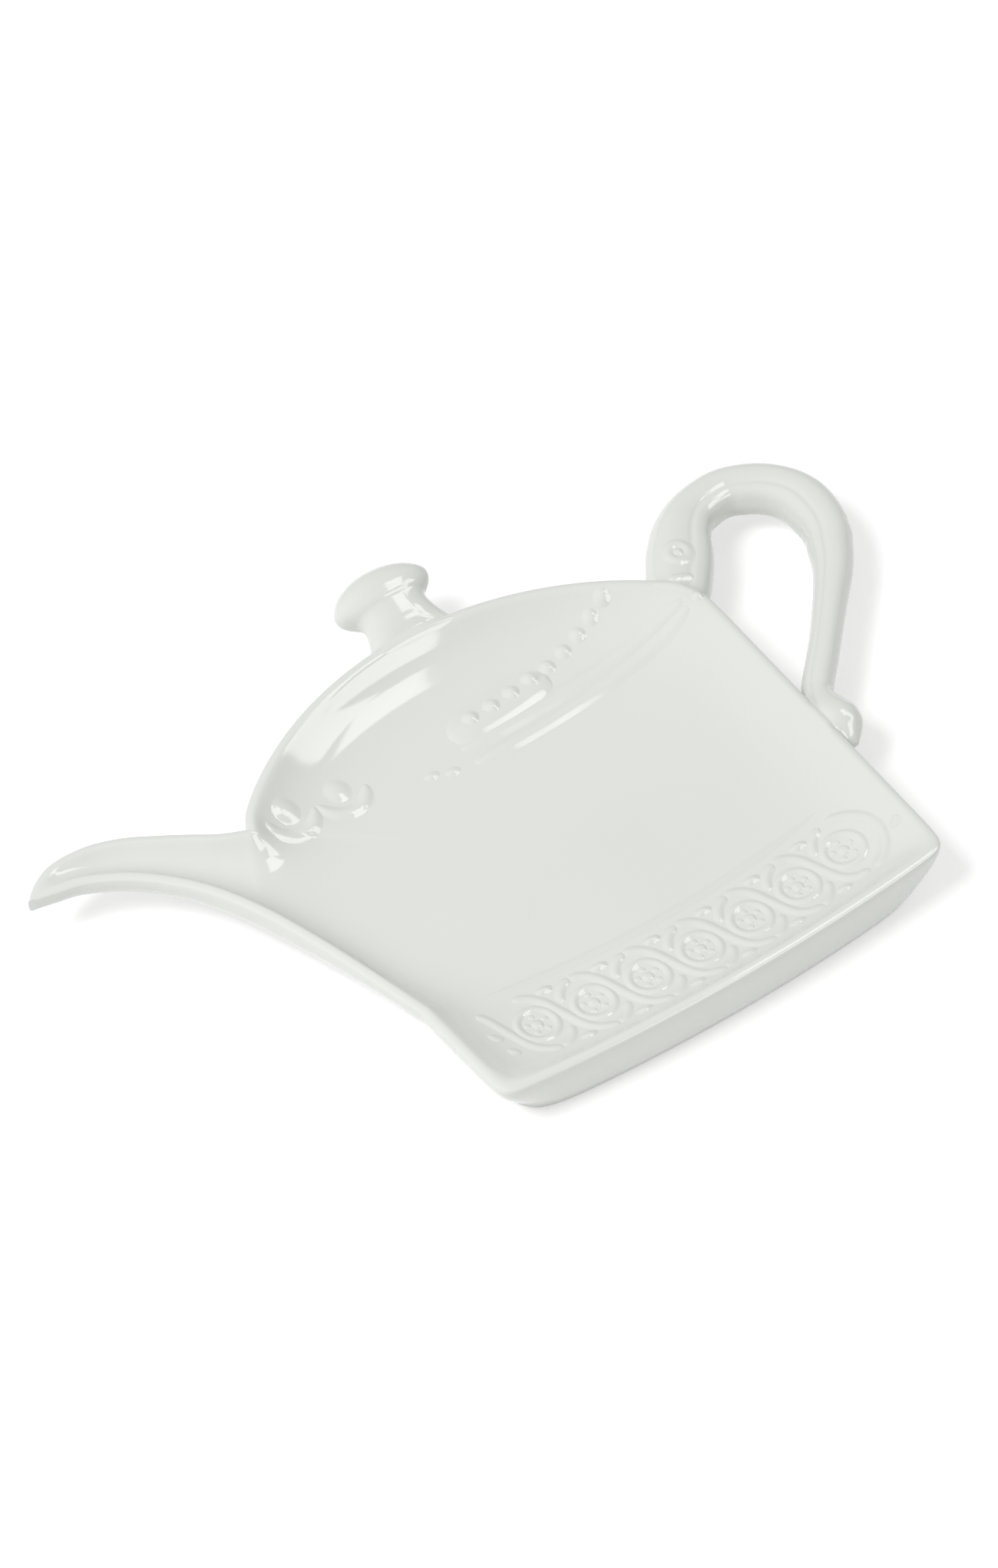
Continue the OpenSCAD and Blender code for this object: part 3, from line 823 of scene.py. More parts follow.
@dataclass
class Dish:
    """The dish with its rim, the foot under it and the spout that runs out of it."""

    plan: TeapotPlan
    spout_depth: float = 7.0
    mouth_fullness: float = 1.35
    foot_w: float = 4.5
    foot_step: float = 0.05
    foot_lean: float = 1.0
    foot_round: float = 0.7
    bare_share: float = 0.3
    mouth_steps: int = 72
    mouth_packing: float = 0.85
    corner_packing: float = 0.6
    spout_steps: int = 71
    tip_start: float = 0.05
    tip_steps: int = 20
    # Shares up the outer wall, insets from the rim inwards, and shares from there to the middle
    wall_shares: tuple[float, ...] = (0, 0.06, 0.14, 0.24, 0.36, 0.5, 0.64, 0.78, 0.9, 0.97, 1)
    insets: tuple[float, ...] = (
        0, 0.06, 0.2, 0.42, 0.75, 1.1, 1.4, 1.75, 2.15, 2.6, 3.1, 3.7,
        4.4, 5.2, 6.1, 7.1, 8.2, 9.5, 11, 12.8, 15,
    )
    inner_shares: tuple[float, ...] = (0.9, 0.8, 0.7, 0.6, 0.5, 0.4, 0.3, 0.2, 0.1, 0.02)

    def mouth_shares(self) -> Points:
        """Shares across the mouth of the spout, packed towards both rims."""
        return packed(np.linspace(0, 1, self.mouth_steps + 1), self.mouth_packing)

    def gate_turns(self) -> Points:
        """Turns of the places across the mouth.

        Returns:
            The turns in degrees, from the upper end to the lower.
        """
        plan = self.plan
        ys = plan.mouth_top[1] + self.mouth_shares() * (plan.mouth_low[1] - plan.mouth_top[1])
        places = np.stack([-plan.side_x(ys), ys], axis=1)
        turns = plan.turn_of(places)
        turns[0], turns[-1] = plan.mouth_top_turn, plan.mouth_low_turn
        return turns

    def side_turns(self, start: float, end: float, steps: int) -> Points:
        """Turns from one corner to the next, packed towards both, without the last."""
        return start + (end - start) * packed(np.arange(steps) / steps, self.corner_packing)

    def turns(self) -> Points:
        """All the turns round the rim.

        Returns:
            The turns in degrees, from the right end of the base upwards.
        """
        plan = self.plan
        return np.concatenate([
            self.side_turns(plan.base_turn, plan.shoulder_turn, 96),
            self.side_turns(plan.shoulder_turn, plan.mouth_top_turn, 150),
            self.gate_turns(),
            self.side_turns(plan.mouth_low_turn, plan.base_end_turn, 40)[1:],
            self.side_turns(plan.base_end_turn, plan.base_turn + 360, 140),
        ])

    def body(self, glaze: bpy.types.Material) -> None:
        """Builds the dish from its flat underside up the wall, over the rim and in to the middle.

        Args:
            glaze: its finish.
        """
        plan = self.plan
        turns = self.turns()
        rim = plan.rim(turns)
        shares = (plan.mouth_top[1] - rim[:, 1]) / (plan.mouth_top[1] - plan.mouth_low[1])
        mouth = (turns > plan.mouth_top_turn) & (turns < plan.mouth_low_turn)
        keel = plan.keel(np.clip(shares, 0, 1), self.spout_depth, self.mouth_fullness)
        wall_top = np.where(mouth, keel, plan.band_low)
        piece = Piece(plan, "body_dish")
        rings = []
        for share in self.wall_shares:
            draw = np.full(len(turns), (1 - share) ** plan.wall_bow)
            heights = plan.foot_h + (wall_top - plan.foot_h) * share
            rings.append(np.column_stack([plan.drawn(rim, draw), heights]))
        for inset in self.insets:
            places = plan.rim(turns, inset)
            rings.append(np.column_stack([places, plan.surface(places)]))
        inmost = plan.rim(turns, self.insets[-1])
        for share in self.inner_shares:
            rings.append(np.column_stack([inmost * share, plan.surface(inmost * share)]))
        piece.loft(rings)
        piece.finish(glaze)

    def foot(self, glaze: bpy.types.Material, bare: bpy.types.Material) -> None:
        """Builds the foot ring, with rounded edges and an unglazed face.

        Args:
            glaze: the finish of its sides.
            bare: the finish of the face that it stands on.
        """
        plan = self.plan
        turns = self.turns()
        wall = plan.drawn(plan.rim(turns), np.ones(len(turns)))
        half = np.array([plan.mid_half_w, plan.body_len / 2])
        h, r, w, lean = plan.foot_h, self.foot_round, self.foot_w, self.foot_lean
        # Where the two points between the ends of a quarter round lie
        near, far = r * 0.13, r * 0.5
        profile = [
            (0, h), (lean * 0.4, h * 0.7), (lean * 0.75, h * 0.45), (lean, r),
            (lean + near, far), (lean + far, near), (lean + r, 0),
            (w - r, 0), (w - far, near), (w - near, far), (w, r), (w, h),
        ]
        rows = []
        for inset, height in profile:
            places = wall * (1 - (self.foot_step + inset) / half)
            rows.append(np.column_stack([places, np.full(len(turns), height)]))
        piece = Piece(plan, "foot_ring")
        piece.loft([np.array([row[i] for row in rows]) for i in range(len(turns))], closed=True)
        for face in piece.mesh.faces:
            if max(vert.co.z for vert in face.verts) < r * self.bare_share * MM:
                face.material_index = 1
        piece.finish(glaze, bare)

    def spout(self, glaze: bpy.types.Material) -> None:
        """Builds the open spout, row by row from the mouth to the tip.

        Args:
            glaze: its finish.
        """
        plan = self.plan
        shares = self.mouth_shares()
        gate = plan.rim(self.gate_turns())
        chord = plan.mouth_top + (plan.mouth_low - plan.mouth_top) * shares[:, None]
        tip = LAST_SPOUT_ROW - 1
        ats = np.concatenate([
            np.linspace(0, tip, self.spout_steps),
            np.linspace(tip + self.tip_start, LAST_SPOUT_ROW, self.tip_steps),
        ])
        tops, lows = plan.spout_edge(True, ats), plan.spout_edge(False, ats)
        real = (plan.mouth_top[1] - gate[:, 1]) / (plan.mouth_top[1] - plan.mouth_low[1])
        rings = []
        for at, top, low in zip(ats, tops, lows):
            row = through(SPOUT_ROWS, at)
            bow = (gate - chord) * (1 - at / LAST_SPOUT_ROW) ** 2
            places = top + (low - top) * shares[:, None] + bow
            upper = np.column_stack([places, plan.surface(places)])
            under = plan.keel(real if at == 0 else shares, row[4] * self.spout_depth, row[5])
            lower = np.column_stack([places, under])
            rings.append(np.vstack([upper, lower[::-1]]))
        piece = Piece(plan, "spout_trough")
        piece.loft(rings)
        piece.finish(glaze)


@dataclass
class LidKnob:
    """The mushroom knob beyond the crown of the lid."""

    plan: TeapotPlan
    width: float = 17.4
    thickness: float = 7.4
    middle_h: float = 12.3
    aside: float = 1.4
    fullness: float = 2.3
    points: int = 72
    sections: int = 121
    # Stations along its reach: place, half width, height and thickness
    stations: tuple[tuple[float, ...], ...] = (
        (-0.3, 1.06, -0.42, 0.7), (-0.12, 0.95, -0.39, 0.72), (0.04, 0.84, -0.32, 0.76),
        (0.13, 0.77, -0.26, 0.78), (0.22, 0.71, -0.19, 0.8), (0.34, 0.68, -0.12, 0.82),
        (0.42, 0.73, -0.08, 0.86), (0.48, 0.85, -0.04, 0.92), (0.545, 0.955, -0.02, 0.96),
        (0.63, 1, 0, 1), (0.72, 0.955, 0.01, 0.98), (0.83, 0.8, 0.02, 0.87),
        (0.925, 0.55, 0.02, 0.66), (0.98, 0.28, 0.02, 0.36), (1, 0.06, 0.02, 0.08),
    )

    def ring(self, row: Points) -> Points:
        """One section of the knob.

        Args:
            row: the station's values.

        Returns:
            The section's points.
        """
        turns = np.radians(np.arange(self.points) * 360 / self.points)
        c, s = np.cos(turns), np.sin(turns)
        r = (np.abs(c) ** self.fullness + np.abs(s) ** self.fullness) ** (-1 / self.fullness)
        x = self.aside + r * c * row[1] * self.width / 2
        y = np.full(len(turns), self.plan.body_len / 2 + row[0] * self.plan.knob_len)
        z = self.middle_h + row[2] * self.thickness + r * s * row[3] * self.thickness / 2
        return np.column_stack([x, y, z])

    def build(self, glaze: bpy.types.Material) -> None:
        """Builds the knob, with a root that runs over the rim and out into the lid.

        Args:
            glaze: its finish.
        """
        piece = Piece(self.plan, "lid_knob")
        ats = np.linspace(0, len(self.stations) - 1, self.sections)
        rows = [through(list(self.stations), at) for at in ats]
        piece.loft([self.plan.over_rim(self.ring(row)) for row in rows])
        piece.finish(glaze)


@dataclass
class Handle:
    """The looped handle: scroll, arch and leg, and boss, cut from one sweep."""

    plan: TeapotPlan
    reach: float = 26.6
    rise: float = 16.1
    drop: float = 39.7
    width: float = 8.6
    thickness: float = 7.5
    middle_h: float = 7.9
    slender: float = 0.5
    fullest: float = 1.08
    boss_lift: float = 0.9
    boss_start: float = 17.5
    boss_run: float = 2.0
    nose_run: float = 1.6
    nose_least: float = 0.02
    # Stations at which the scroll, the loop and the boss start, and where the boss ends
    cuts: tuple[int, ...] = (0, 3, 17, 21)
    sections: int = 12
    points: int = 64
    # Half the stretch over which the middle line's direction is read
    heading: float = 0.1
    eye_at: tuple[float, float] = (45.1, 31.9)
    eye_r: float = 1.8
    eye_w: float = 1.5
    eye_h: float = 0.28
    pupil_r: float = 1.0
    pupil_h: float = 0.3
    crown_blur: float = 0.5
    # How far along the sweep the eye's ground is read: the last station, and how many sections
    crown_reach: tuple[int, int] = (4, 49)
    collar: tuple[tuple[float, float], ...] = ((40.2, 28.0), (44.2, 26.7))
    collar_w: float = 1.4
    collar_h: float = 0.35
    corner_bead: tuple[float, float] = (41.7, 22.5)
    corner_bead_r: float = 1.2
    corner_bead_h: float = 0.6
    # Stations of the middle line: across, up or down from the shoulder, width of the bar
    stations: tuple[tuple[float, ...], ...] = (
        (-0.2, -0.045, 0.98), (-0.101, 0.08, 1.14), (0.039, 0.37, 1.25), (0.13, 0.57, 1.24),
        (0.236, 0.78, 1.1), (0.383, 0.94, 0.96), (0.602, 1, 0.91), (0.764, 0.91, 0.94),
        (0.887, 0.76, 0.96), (0.97, 0.55, 0.99), (0.994, 0.32, 1), (0.97, 0.02, 0.92),
        (0.894, -0.1, 0.84), (0.799, -0.2, 0.74), (0.644, -0.32, 0.65), (0.469, -0.45, 0.6),
        (0.314, -0.56, 0.6), (0.192, -0.644, 0.6), (0.118, -0.714, 0.62), (0.066, -0.822, 1.06),
        (0.06, -0.905, 0.98), (0.052, -0.99, 0.3),
    )
    # The bar's section, from its outer side over the crown to its inner side and back underneath
    section: tuple[tuple[float, float], ...] = (
        (1, 0.1), (0.9, 0.5), (0.68, 0.82), (0.38, 0.98), (0.08, 1), (-0.18, 0.95), (-0.34, 0.88),
        (-0.54, 0.87), (-0.8, 0.7), (-0.97, 0.3), (-1, -0.15), (-0.86, -0.62), (-0.5, -0.93),
        (0, -1), (0.5, -0.93), (0.88, -0.55),
    )

    def middle(self, at: float) -> Points:
        """The middle line of the bar.

        Args:
            at: the place, counted in stations.

        Returns:
            The place in plan.
        """
        row = through(list(self.stations), at)
        y = self.plan.shoulder_y + row[1] * (self.rise if row[1] > 0 else self.drop)
        return np.array([self.plan.side_x(y) + row[0] * self.reach, y])

    def ring(self, at: float) -> Points:
        """One section of the bar.

        Args:
            at: the place, counted in stations.

        Returns:
            The section's points.
        """
        last = len(self.stations) - 1
        a, b = self.middle(max(0, at - self.heading)), self.middle(min(last, at + self.heading))
        along = (b - a) / np.hypot(*(b - a))
        across = np.array([-along[1], along[0]])
        share = through(list(self.stations), at)[2]
        half_w = self.width * share / 2
        nose = min(max((last - at) / self.nose_run, self.nose_least), 1)
        half_t = self.thickness / 2 * (self.slender + (1 - self.slender) * min(share, self.fullest))
        half_t *= math.sqrt(nose * (2 - nose))
        lift = self.boss_lift * min(max((at - self.boss_start) / self.boss_run, 0), 1)
        corners = list(self.section[-2:]) + list(self.section) + list(self.section[:2])
        steps = range(self.points)
        fine = np.array([through(corners, 2 + i * len(self.section) / self.points) for i in steps])
        places = self.middle(at) + fine[:, :1] * half_w * across
        return self.plan.over_rim(np.column_stack([places, self.middle_h + lift + fine[:, 1] * half_t]))

    def part(self, node: str, start: int, end: int) -> Piece:
        """Builds one stretch of the sweep.

        Args:
            node: the node that it stands for.
            start: its first station.
            end: its last station.

        Returns:
            The unfinished piece.
        """
        piece = Piece(self.plan, node)
        piece.loft([self.ring(at) for at in np.linspace(start, end, (end - start) * self.sections + 1)])
        return piece

    def eye(self, piece: Piece) -> None:
        """Adds the scroll's eye, the crease of its collar and the bead on the corner of the rim.

        Args:
            piece: the piece that carries them.
        """
        last, count = self.crown_reach
        rings = [self.ring(at) for at in np.linspace(0, last, count)]
        known = np.concatenate([ring[ring[:, 2] > self.middle_h] for ring in rings])

        def crown(places: Points) -> Points:
            """Heights of the scroll's upper side, from the nearest points of its sections.

            Args:
                places: places in plan.

            Returns:
                One height for each place.
            """
            gaps = ((places[:, None, :] - known[None, :, :2]) ** 2).sum(axis=2)
            weights = np.exp((gaps.min(axis=1, keepdims=True) - gaps) / self.crown_blur**2)
            return (weights * known[:, 2]).sum(axis=1) / weights.sum(axis=1)

        x, y = self.eye_at
        piece.mound((x, y), self.pupil_r, self.pupil_h, BEAD_FULLNESS, ground=crown)
        circle = arc(x, y, self.eye_r, 0, 350, 36)
        piece.ridge(circle, self.eye_w, self.eye_h, closed=True, ground=crown)
        along = np.linspace(0, 1, 24)[:, None]
        start, end = (np.array(place) for place in self.collar)
        piece.ridge(start + (end - start) * along, self.collar_w, self.collar_h, ground=crown)
        piece.mound(self.corner_bead, self.corner_bead_r, self.corner_bead_h, BEAD_FULLNESS)

    def build(self, glaze: bpy.types.Material) -> None:
        """Builds the three stretches.

        Args:
            glaze: their finish.
        """
        nodes = ("handle_scroll", "handle_loop", "handle_boss")
        for node, start, end in zip(nodes, self.cuts, self.cuts[1:]):
            piece = self.part(node, start, end)
            if node == nodes[0]:
                self.eye(piece)
            piece.finish(glaze)


@dataclass
class BorderRelief:
    """The guilloche border along the base: medallions, strands, darts, leaves and edge line."""

    plan: TeapotPlan
    medallions: int = 7
    pitch: float = 9.6
    medallion_r: float = 3.1
    inset: float = 11.4
    bow: float = 4.6
    swing: float = 5.8
    loop_r: float = 4.35
    strand_w: float = 1.0
    height: float = 0.31
    aside: float = 1.5
    petals: int = 5
    # Shares of a medallion's radius, of a strand's width and of the relief's height
    frame_w_share: float = 1.15
    core_r_share: float = 0.34
    core_h_share: float = 1.1
    petal_out_share: float = 0.54
    petal_r_share: float = 0.2
    petal_h_share: float = 0.6
    over_w_share: float = 1.4
    over_h_share: float = 1.1
    under_w_share: float = 1.3
    # Shares of the way to the next medallion
    over_span: tuple[float, float] = (-0.05, 1.05)
    under_spans: tuple[tuple[float, float], ...] = ((0.02, 0.42), (0.58, 0.98))
    entry_start: float = 0.25
    # How far past a medallion's top a strand's bend is worked out, in radians
    first_turn: float = 0.35
    # The strand that closes round the last medallion: its turn in degrees, and its shares
    closing_turn: float = 80.0
    closing_r_share: float = 1.06
    closing_h_share: float = 1.2
    dart_len: float = 3.6
    dart_w: float = 1.9
    dart_h: float = 0.5
    dart_out_share: float = 0.98
    # Leaves: place along and up, as shares of the strand's swing, and length, as a share of half of it
    leaves: tuple[tuple[float, ...], ...] = ((-1.05, 0.3, 0.62), (-0.95, -0.35, 0.55), (1.25, -0.2, 0.5))
    leaf_turn: float = 80.0
    leaf_ends: float = 1.2
    line_reach_share: float = 0.74
    line_out_share: float = 2.6
    line_w_share: float = 1.2
    line_h_share: float = 0.45
    line_ends: float = 12.0

    def line_y(self, x: Any) -> Any:
        """Height in plan of the border's middle line."""
        return self.inset - self.plan.body_len / 2 + self.bow * ((x - self.aside) / self.plan.mid_half_w) ** 2

    def middle_x(self, k: float) -> float:
        """Place across of a medallion."""
        return self.aside + (k - (self.medallions - 1) / 2) * self.pitch

    def strand(self, k: int, sign: float, start: float, end: float) -> Points:
        """Part of the strand from one medallion to the next.

        Args:
            k: the medallion that it leaves.
            sign: 1 where it starts above, -1 where it starts below.
            start: share at which it starts.
            end: share at which it ends.

        Returns:
            Places along it.
        """
        half = self.pitch / 2
        touch = math.acos(self.loop_r / half)
        turns = np.linspace(math.pi / 2 + self.first_turn, touch, 24)
        x = np.concatenate([self.loop_r * np.cos(turns), [half]])
        up = np.concatenate([self.swing * np.sin(turns), [0]])
        x = np.concatenate([x, self.pitch - x[-2::-1]])
        up = np.concatenate([up, -up[-2::-1]])
        at = np.linspace(start, end, max(10, int(48 * (end - start)))) * self.pitch
        up = np.interp(at, x, up)
        x = at + self.middle_x(k)
        return np.stack([x, self.line_y(x) + sign * up], axis=1)

    def round_medallion(self, x: float, radius: float, start: float, end: float) -> Points:
        """Places on an arc, given by two turns in degrees, round the middle of the medallion at x."""
        return arc(x, self.line_y(x), radius, start, end, 36)

    def build(self, glaze: bpy.types.Material) -> None:
        """Builds the border's six nodes.

        Args:
            glaze: its finish.
        """
        self.build_medallions(glaze)
        self.build_strands(glaze)
        self.build_darts(glaze)
        self.build_leaves(glaze)
        self.build_edge_line(glaze)

    def build_medallions(self, glaze: bpy.types.Material) -> None:
        """Builds the medallions' frames, and a rosette of petals round a core in each.

        Args:
            glaze: their finish.
        """
        r, h = self.medallion_r, self.height
        rings = Piece(self.plan, "border_rings")
        rosettes = Piece(self.plan, "border_rosettes")
        for x in map(self.middle_x, range(self.medallions)):
            frame_line = self.round_medallion(x, r, 0, 350)
            rings.ridge(frame_line, self.strand_w * self.frame_w_share, h, closed=True)
            rosettes.mound((x, self.line_y(x)), r * self.core_r_share, h * self.core_h_share)
            for turn in np.arange(self.petals) * 2 * math.pi / self.petals + math.pi / 2:
                out = r * self.petal_out_share
                middle = (x + out * math.cos(turn), self.line_y(x) + out * math.sin(turn))
                rosettes.mound(middle, r * self.petal_r_share, h * self.petal_h_share)
        rings.finish(glaze)
        rosettes.finish(glaze)

    def build_strands(self, glaze: bpy.types.Material) -> None:
        """Builds the strands: a whole one and an interrupted one between medallions, and the ends.

        Args:
            glaze: their finish.
        """
        over_w, under_w = self.strand_w * self.over_w_share, self.strand_w * self.under_w_share
        over_h = self.height * self.over_h_share
        start, end = self.over_span
        strands = Piece(self.plan, "border_strands")
        for k in range(self.medallions - 1):
            strands.ridge(self.strand(k, 1, start, end), over_w, over_h)
            for under_start, under_end in self.under_spans:
                strands.ridge(self.strand(k, -1, under_start, under_end), under_w, self.height)
        strands.ridge(self.strand(-1, 1, self.entry_start, end), over_w, over_h)
        turn = self.closing_turn
        last_x = self.middle_x(self.medallions - 1)
        closing = self.round_medallion(last_x, self.swing * self.closing_r_share, turn, -turn)
        strands.ridge(closing, over_w, self.height * self.closing_h_share)
        strands.finish(glaze)

    def build_darts(self, glaze: bpy.types.Material) -> None:
        """Builds the darts above and below the strands' crossings.

        Args:
            glaze: their finish.
        """
        darts = Piece(self.plan, "border_darts")
        narrow = self.dart_w / self.dart_len
        for k in range(self.medallions - 1):
            x = self.middle_x(k + 0.5)
            for side in (-1, 1):
                middle = (x, self.line_y(x) + side * self.swing * self.dart_out_share)
                darts.mound(middle, self.dart_len / 2, self.dart_h, BEAD_FULLNESS, narrow)
        darts.finish(glaze)

    def build_leaves(self, glaze: bpy.types.Material) -> None:
        """Builds the curled leaves outside the first and the last medallion.

        Args:
            glaze: their finish.
        """
        leaves = Piece(self.plan, "border_end_leaves")
        turn = math.radians(self.leaf_turn)
        turns = np.radians(np.linspace(0, self.leaf_turn, 9))
        for along, up, size in self.leaves:
            root_x = self.middle_x(self.medallions - 1 if along > 0 else 0)
            root = (root_x + along * self.swing, self.line_y(root_x) + up * self.swing)
            curl = np.stack([math.copysign(1, along) * np.sin(turns), -np.sin(turn - turns)], axis=1)
            path = curl * self.swing * size / 2 + root
            leaves.ridge(path, self.strand_w * self.over_w_share, self.height, ends=self.leaf_ends)
        leaves.finish(glaze)

    def build_edge_line(self, glaze: bpy.types.Material) -> None:
        """Builds the fine line along the border's upper edge.

        Args:
            glaze: its finish.
        """
        w = self.strand_w
        line = Piece(self.plan, "border_edge_line")
        x = np.linspace(-self.line_reach_share, self.line_reach_share, 80) * self.plan.mid_half_w
        path = np.stack([x, self.line_y(x) + self.swing + self.line_out_share * w], axis=1)
        line.ridge(path, w * self.line_w_share, self.height * self.line_h_share, ends=self.line_ends)
        line.finish(glaze)


@dataclass
class ShoulderRelief:
    """The reeds, beads and lobes across the shoulder."""

    plan: TeapotPlan
    reed_inset: float = 24.6
    reed_gap: float = 3.4
    reed_w: float = 2.4
    reed_h: float = 0.45
    reed_sag: float = 4.0
    reed_closing: float = 0.6
    reed_span: tuple[float, float] = (-0.1, 0.93)
    reed_ends: float = 3.0
    reeds: int = 2
    drops: tuple[tuple[float, float], ...] = ((-11.0, 20.2), (-7.8, 19.1))
    drop_share: float = 0.7
    drop_narrow: float = 0.6
    bead_inset: float = 17.2
    bead_sag: float = 12.0
    bead_r: float = 1.4
    bead_skirt: float = 1.15
    bead_h: float = 0.6
    bead_turn: float = 5.5
    first_bead: float = 0.1
    beads: int = 9
    swell_span: tuple[float, float] = (-4.5, 15.5)
    swell_w: float = 5.4
    swell_h: float = 0.85
    swell_below: float = 1.0
    swell_run: float = 5.0
    swell_share: float = 0.85
    lobes: int = 2
    lobe_inset: float = 17.5
    lobe_r: float = 4.4
    lobe_w: float = 2.0
    lobe_start: float = 25.0
    lobe_pitch: float = 2.15
    lobe_core: float = 0.6
    lobe_h: float = 0.45
    lobe_turns: tuple[float, float] = (190.0, 350.0)
    lobe_ends: float = 2.0

    def band_y(self, inset: float, sag: float, x: Any) -> Any:
        """Height in plan of a band that rises towards both sides."""
        return self.plan.body_len / 2 - inset + sag * (x / self.plan.mid_half_w) ** 2

    def swell_lift(self, x: float) -> float:
        """How far the swell lifts a bead; nothing past the swell's ends.

        Args:
            x: the bead's place across.

        Returns:
            The lift.
        """
        start, end = self.swell_span
        share = min(max(min(x - start, end - x) / self.swell_run, 0), 1)
        return self.swell_h * self.swell_share * math.sqrt(share * (2 - share))

    def lifted(self, lift: float) -> Callable[[Points], Points]:
        """The surface of the dish, raised by a lift."""
        return lambda places: self.plan.surface(places) + lift

    def build(self, glaze: bpy.types.Material) -> None:
        """Builds the shoulder's three nodes.

        Args:
            glaze: its finish.
        """
        self.build_reeds(glaze)
        self.build_beads(glaze)
        self.build_lobes(glaze)

    def build_reeds(self, glaze: bpy.types.Material) -> None:
        """Builds the reeds, which close up towards their ends, and the drops left of them.

        Args:
            glaze: their finish.
        """
        reeds = Piece(self.plan, "shoulder_reeds")
        shares = np.linspace(*self.reed_span, 90)
        x = shares * self.plan.mid_half_w
        for k in range(self.reeds):
            up = k * self.reed_gap * (1 - self.reed_closing * shares**2)
            path = np.stack([x, self.band_y(self.reed_inset, self.reed_sag, x) + up], axis=1)
            reeds.ridge(path, self.reed_w, self.reed_h, ends=self.reed_ends)
        radius, height = self.reed_w * self.drop_share, self.reed_h * self.drop_share
        for place in self.drops:
            reeds.mound(place, radius, height, BEAD_FULLNESS, self.drop_narrow)
        reeds.finish(glaze)

    def build_beads(self, glaze: bpy.types.Material) -> None:
        """Builds the row of beads, and the swell that the first of them stand on.

        Args:
            glaze: their finish.
        """
        discs = Piece(self.plan, "shoulder_discs")
        x = np.linspace(*self.swell_span, 40)
        swell = np.stack([x, self.band_y(self.bead_inset + self.swell_below, self.bead_sag, x)], axis=1)
        discs.ridge(swell, self.swell_w, self.swell_h, ends=self.swell_run / self.swell_w)
        for k in range(self.beads):
            x = self.plan.mid_half_w * math.sin(math.radians((k + self.first_bead) * self.bead_turn))
            place = (x, self.band_y(self.bead_inset, self.bead_sag, x))
            radius, ground = self.bead_r * self.bead_skirt, self.lifted(self.swell_lift(x))
            discs.mound(place, radius, self.bead_h, BEAD_FULLNESS, ground=ground)
        discs.finish(glaze)

    def build_lobes(self, glaze: bpy.types.Material) -> None:
        """Builds the lobes, each a curl round a core.

        Args:
            glaze: their finish.
        """
        lobes = Piece(self.plan, "shoulder_lobes")
        for k in range(self.lobes):
            x = -self.lobe_start - k * self.lobe_r * self.lobe_pitch
            y = self.plan.body_len / 2 - self.lobe_inset
            lobes.mound((x, y), self.lobe_r * self.lobe_core, self.lobe_h, BEAD_FULLNESS)
            path = arc(x, y, self.lobe_r, *self.lobe_turns, 40)
            lobes.ridge(path, self.lobe_w, self.lobe_h, ends=self.lobe_ends)
        lobes.finish(glaze)


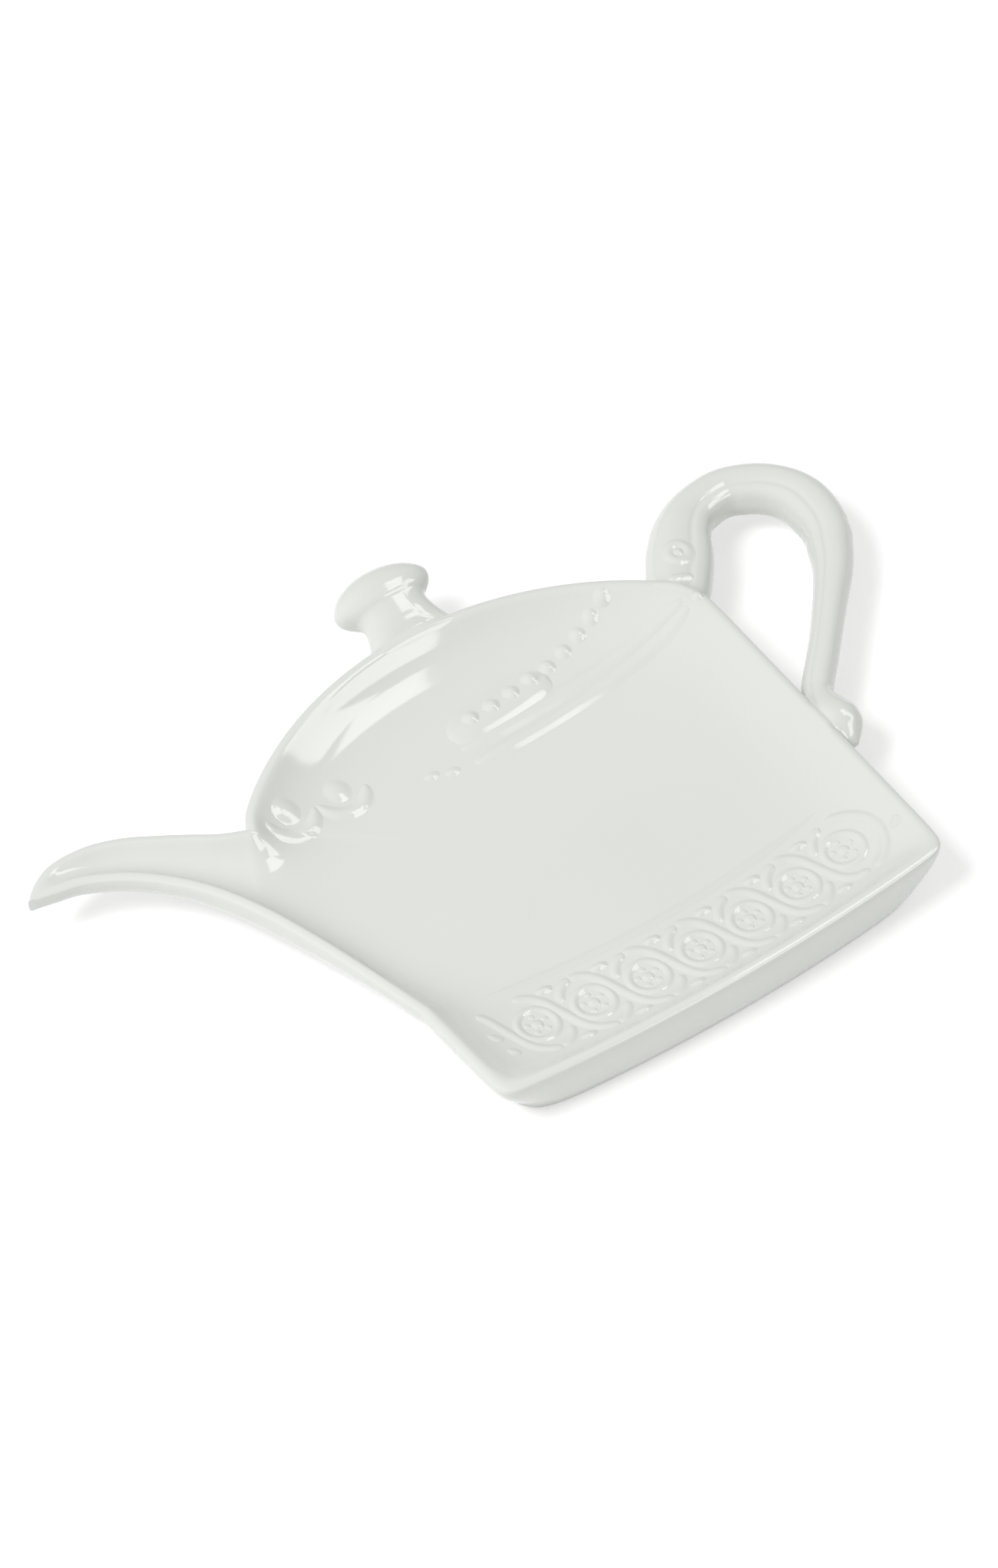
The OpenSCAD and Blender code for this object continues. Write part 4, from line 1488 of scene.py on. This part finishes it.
@dataclass
class Studio:
    """A pale table top, a soft sky, overhead panels and the camera of the photograph."""

    aim: tuple[float, float, float] = (-4.7, 2.7, 12.0)
    azimuth: float = -36.0
    elevation: float = 48.75
    distance: float = 995.8
    lens: float = 150.0
    sensor_w: float = 36.0
    clip: tuple[float, float] = (0.05, 20.0)
    sky: float = 0.56
    table_size: float = 4.0
    table_colour: tuple[float, ...] = (0.86, 0.86, 0.86, 1.0)
    floor_glow: float = 0.36
    window_light: float = 3.4
    watts_per_m2: float = 4.0
    # Windows: name, place and size in metres, turn in degrees
    windows: tuple[tuple[Any, ...], ...] = (
        ("window_near", (0.585, -0.08, 1.0), (0.31, 0.4), 0.0),
        ("window_low", (1.277, -0.531, 1.0), (1.25, 0.4), -34.8),
        ("window_high", (0.86, -1.1, 1.0), (0.86, 0.9), 0.0),
    )
    key_at: tuple[float, ...] = (-0.8, -0.04, 1.15)
    key_size: tuple[float, float] = (0.45, 0.45)
    key_watts: float = 9.4

    def floor(self) -> None:
        """Makes the table top, which the camera sees as white with the rest's shadow on it."""
        mesh = bmesh.new()
        bmesh.ops.create_grid(mesh, x_segments=1, y_segments=1, size=self.table_size)
        data = bpy.data.meshes.new("table_top")
        mesh.to_mesh(data)
        mesh.free()
        top = bpy.data.objects.new("table_top", data)
        bpy.context.scene.collection.objects.link(top)
        graph = Graph("white_table")
        rays = ("Is Camera Ray", "Is Glossy Ray", "Is Transmission Ray")
        seen, gloss, clear = (graph.add("ShaderNodeLightPath", {}, {}, ray) for ray in rays)
        matt = graph.add("ShaderNodeBsdfDiffuse", {}, {"Color": self.table_colour})
        glow = graph.add("ShaderNodeEmission", {}, {"Strength": (seen + gloss + clear) * self.floor_glow})
        data.materials.append(graph.finish(graph.add("ShaderNodeAddShader", {}, {0: matt, 1: glow})))

    @staticmethod
    def panel(
        name: str, middle: tuple[float, ...], size: tuple[float, float], watts: float
    ) -> bpy.types.Object:
        """Hangs a light panel that faces the rest.

        Args:
            name: its name.
            middle: its place in metres.
            size: its width and length in metres.
            watts: its power.

        Returns:
            The lamp.
        """
        data = bpy.data.lights.new(name, "AREA")
        data.shape = "RECTANGLE"
        data.size, data.size_y = size
        data.energy = watts
        lamp = bpy.data.objects.new(name, data)
        lamp.location = middle
        lamp.rotation_euler = Vector(middle).to_track_quat("Z", "Y").to_euler()
        bpy.context.scene.collection.objects.link(lamp)
        return lamp

    def window(self, name: str, middle: tuple[float, ...], size: tuple[float, float], turn: float) -> None:
        """Hangs a level panel that is mirrored in the glaze and lights nothing else.

        Args:
            name: its name.
            middle: its place in metres.
            size: its length and width in metres.
            turn: its turn in degrees.
        """
        watts = self.watts_per_m2 * size[0] * size[1] * self.window_light
        lamp = self.panel(name, middle, size, watts)
        lamp.rotation_euler = (0, 0, math.radians(turn))
        lamp.visible_diffuse = False

    def world(self) -> None:
        """Makes the even sky."""
        world = bpy.data.worlds.new("studio")
        world.use_nodes = True
        sockets = world.node_tree.nodes["Background"].inputs
        sockets["Color"].default_value = (1, 1, 1, 1)
        sockets["Strength"].default_value = self.sky
        bpy.context.scene.world = world

    def camera(self) -> None:
        """Sets the camera at the photograph's place."""
        data = bpy.data.cameras.new("camera")
        data.lens = self.lens
        data.sensor_width = self.sensor_w
        data.clip_start, data.clip_end = self.clip
        camera = bpy.data.objects.new("camera", data)
        a, e = math.radians(self.azimuth), math.radians(self.elevation)
        back = Vector((math.sin(a) * math.cos(e), -math.cos(a) * math.cos(e), math.sin(e)))
        camera.location = (Vector(self.aim) + back * self.distance) * MM
        camera.rotation_euler = back.to_track_quat("Z", "Y").to_euler()
        bpy.context.scene.collection.objects.link(camera)
        bpy.context.scene.camera = camera

    def build(self) -> None:
        """Makes the whole studio."""
        bpy.context.scene.view_settings.view_transform = "Standard"
        self.camera()
        self.floor()
        self.world()
        for window in self.windows:
            self.window(*window)
        key = self.panel("key", self.key_at, self.key_size, self.key_watts)
        key.visible_glossy = False


def main() -> None:
    """Builds the studio and then every piece of the rest."""
    logging.basicConfig(level=logging.INFO, format="%(message)s")
    Studio().build()
    plan = TeapotPlan()
    open_glaze = PorcelainGlaze().material(Shade.OPEN)
    # The border relief's glaze is greyed by painted shade
    shaded_relief_glaze = PorcelainGlaze().material(Shade.RELIEF)
    dish = Dish(plan)
    dish.body(open_glaze)
    dish.foot(open_glaze, BarePorcelain().material())
    dish.spout(open_glaze)
    LidKnob(plan).build(open_glaze)
    Handle(plan).build(open_glaze)
    BorderRelief(plan).build(shaded_relief_glaze)
    ShoulderRelief(plan).build(open_glaze)


if __name__ == "__main__":
    main()
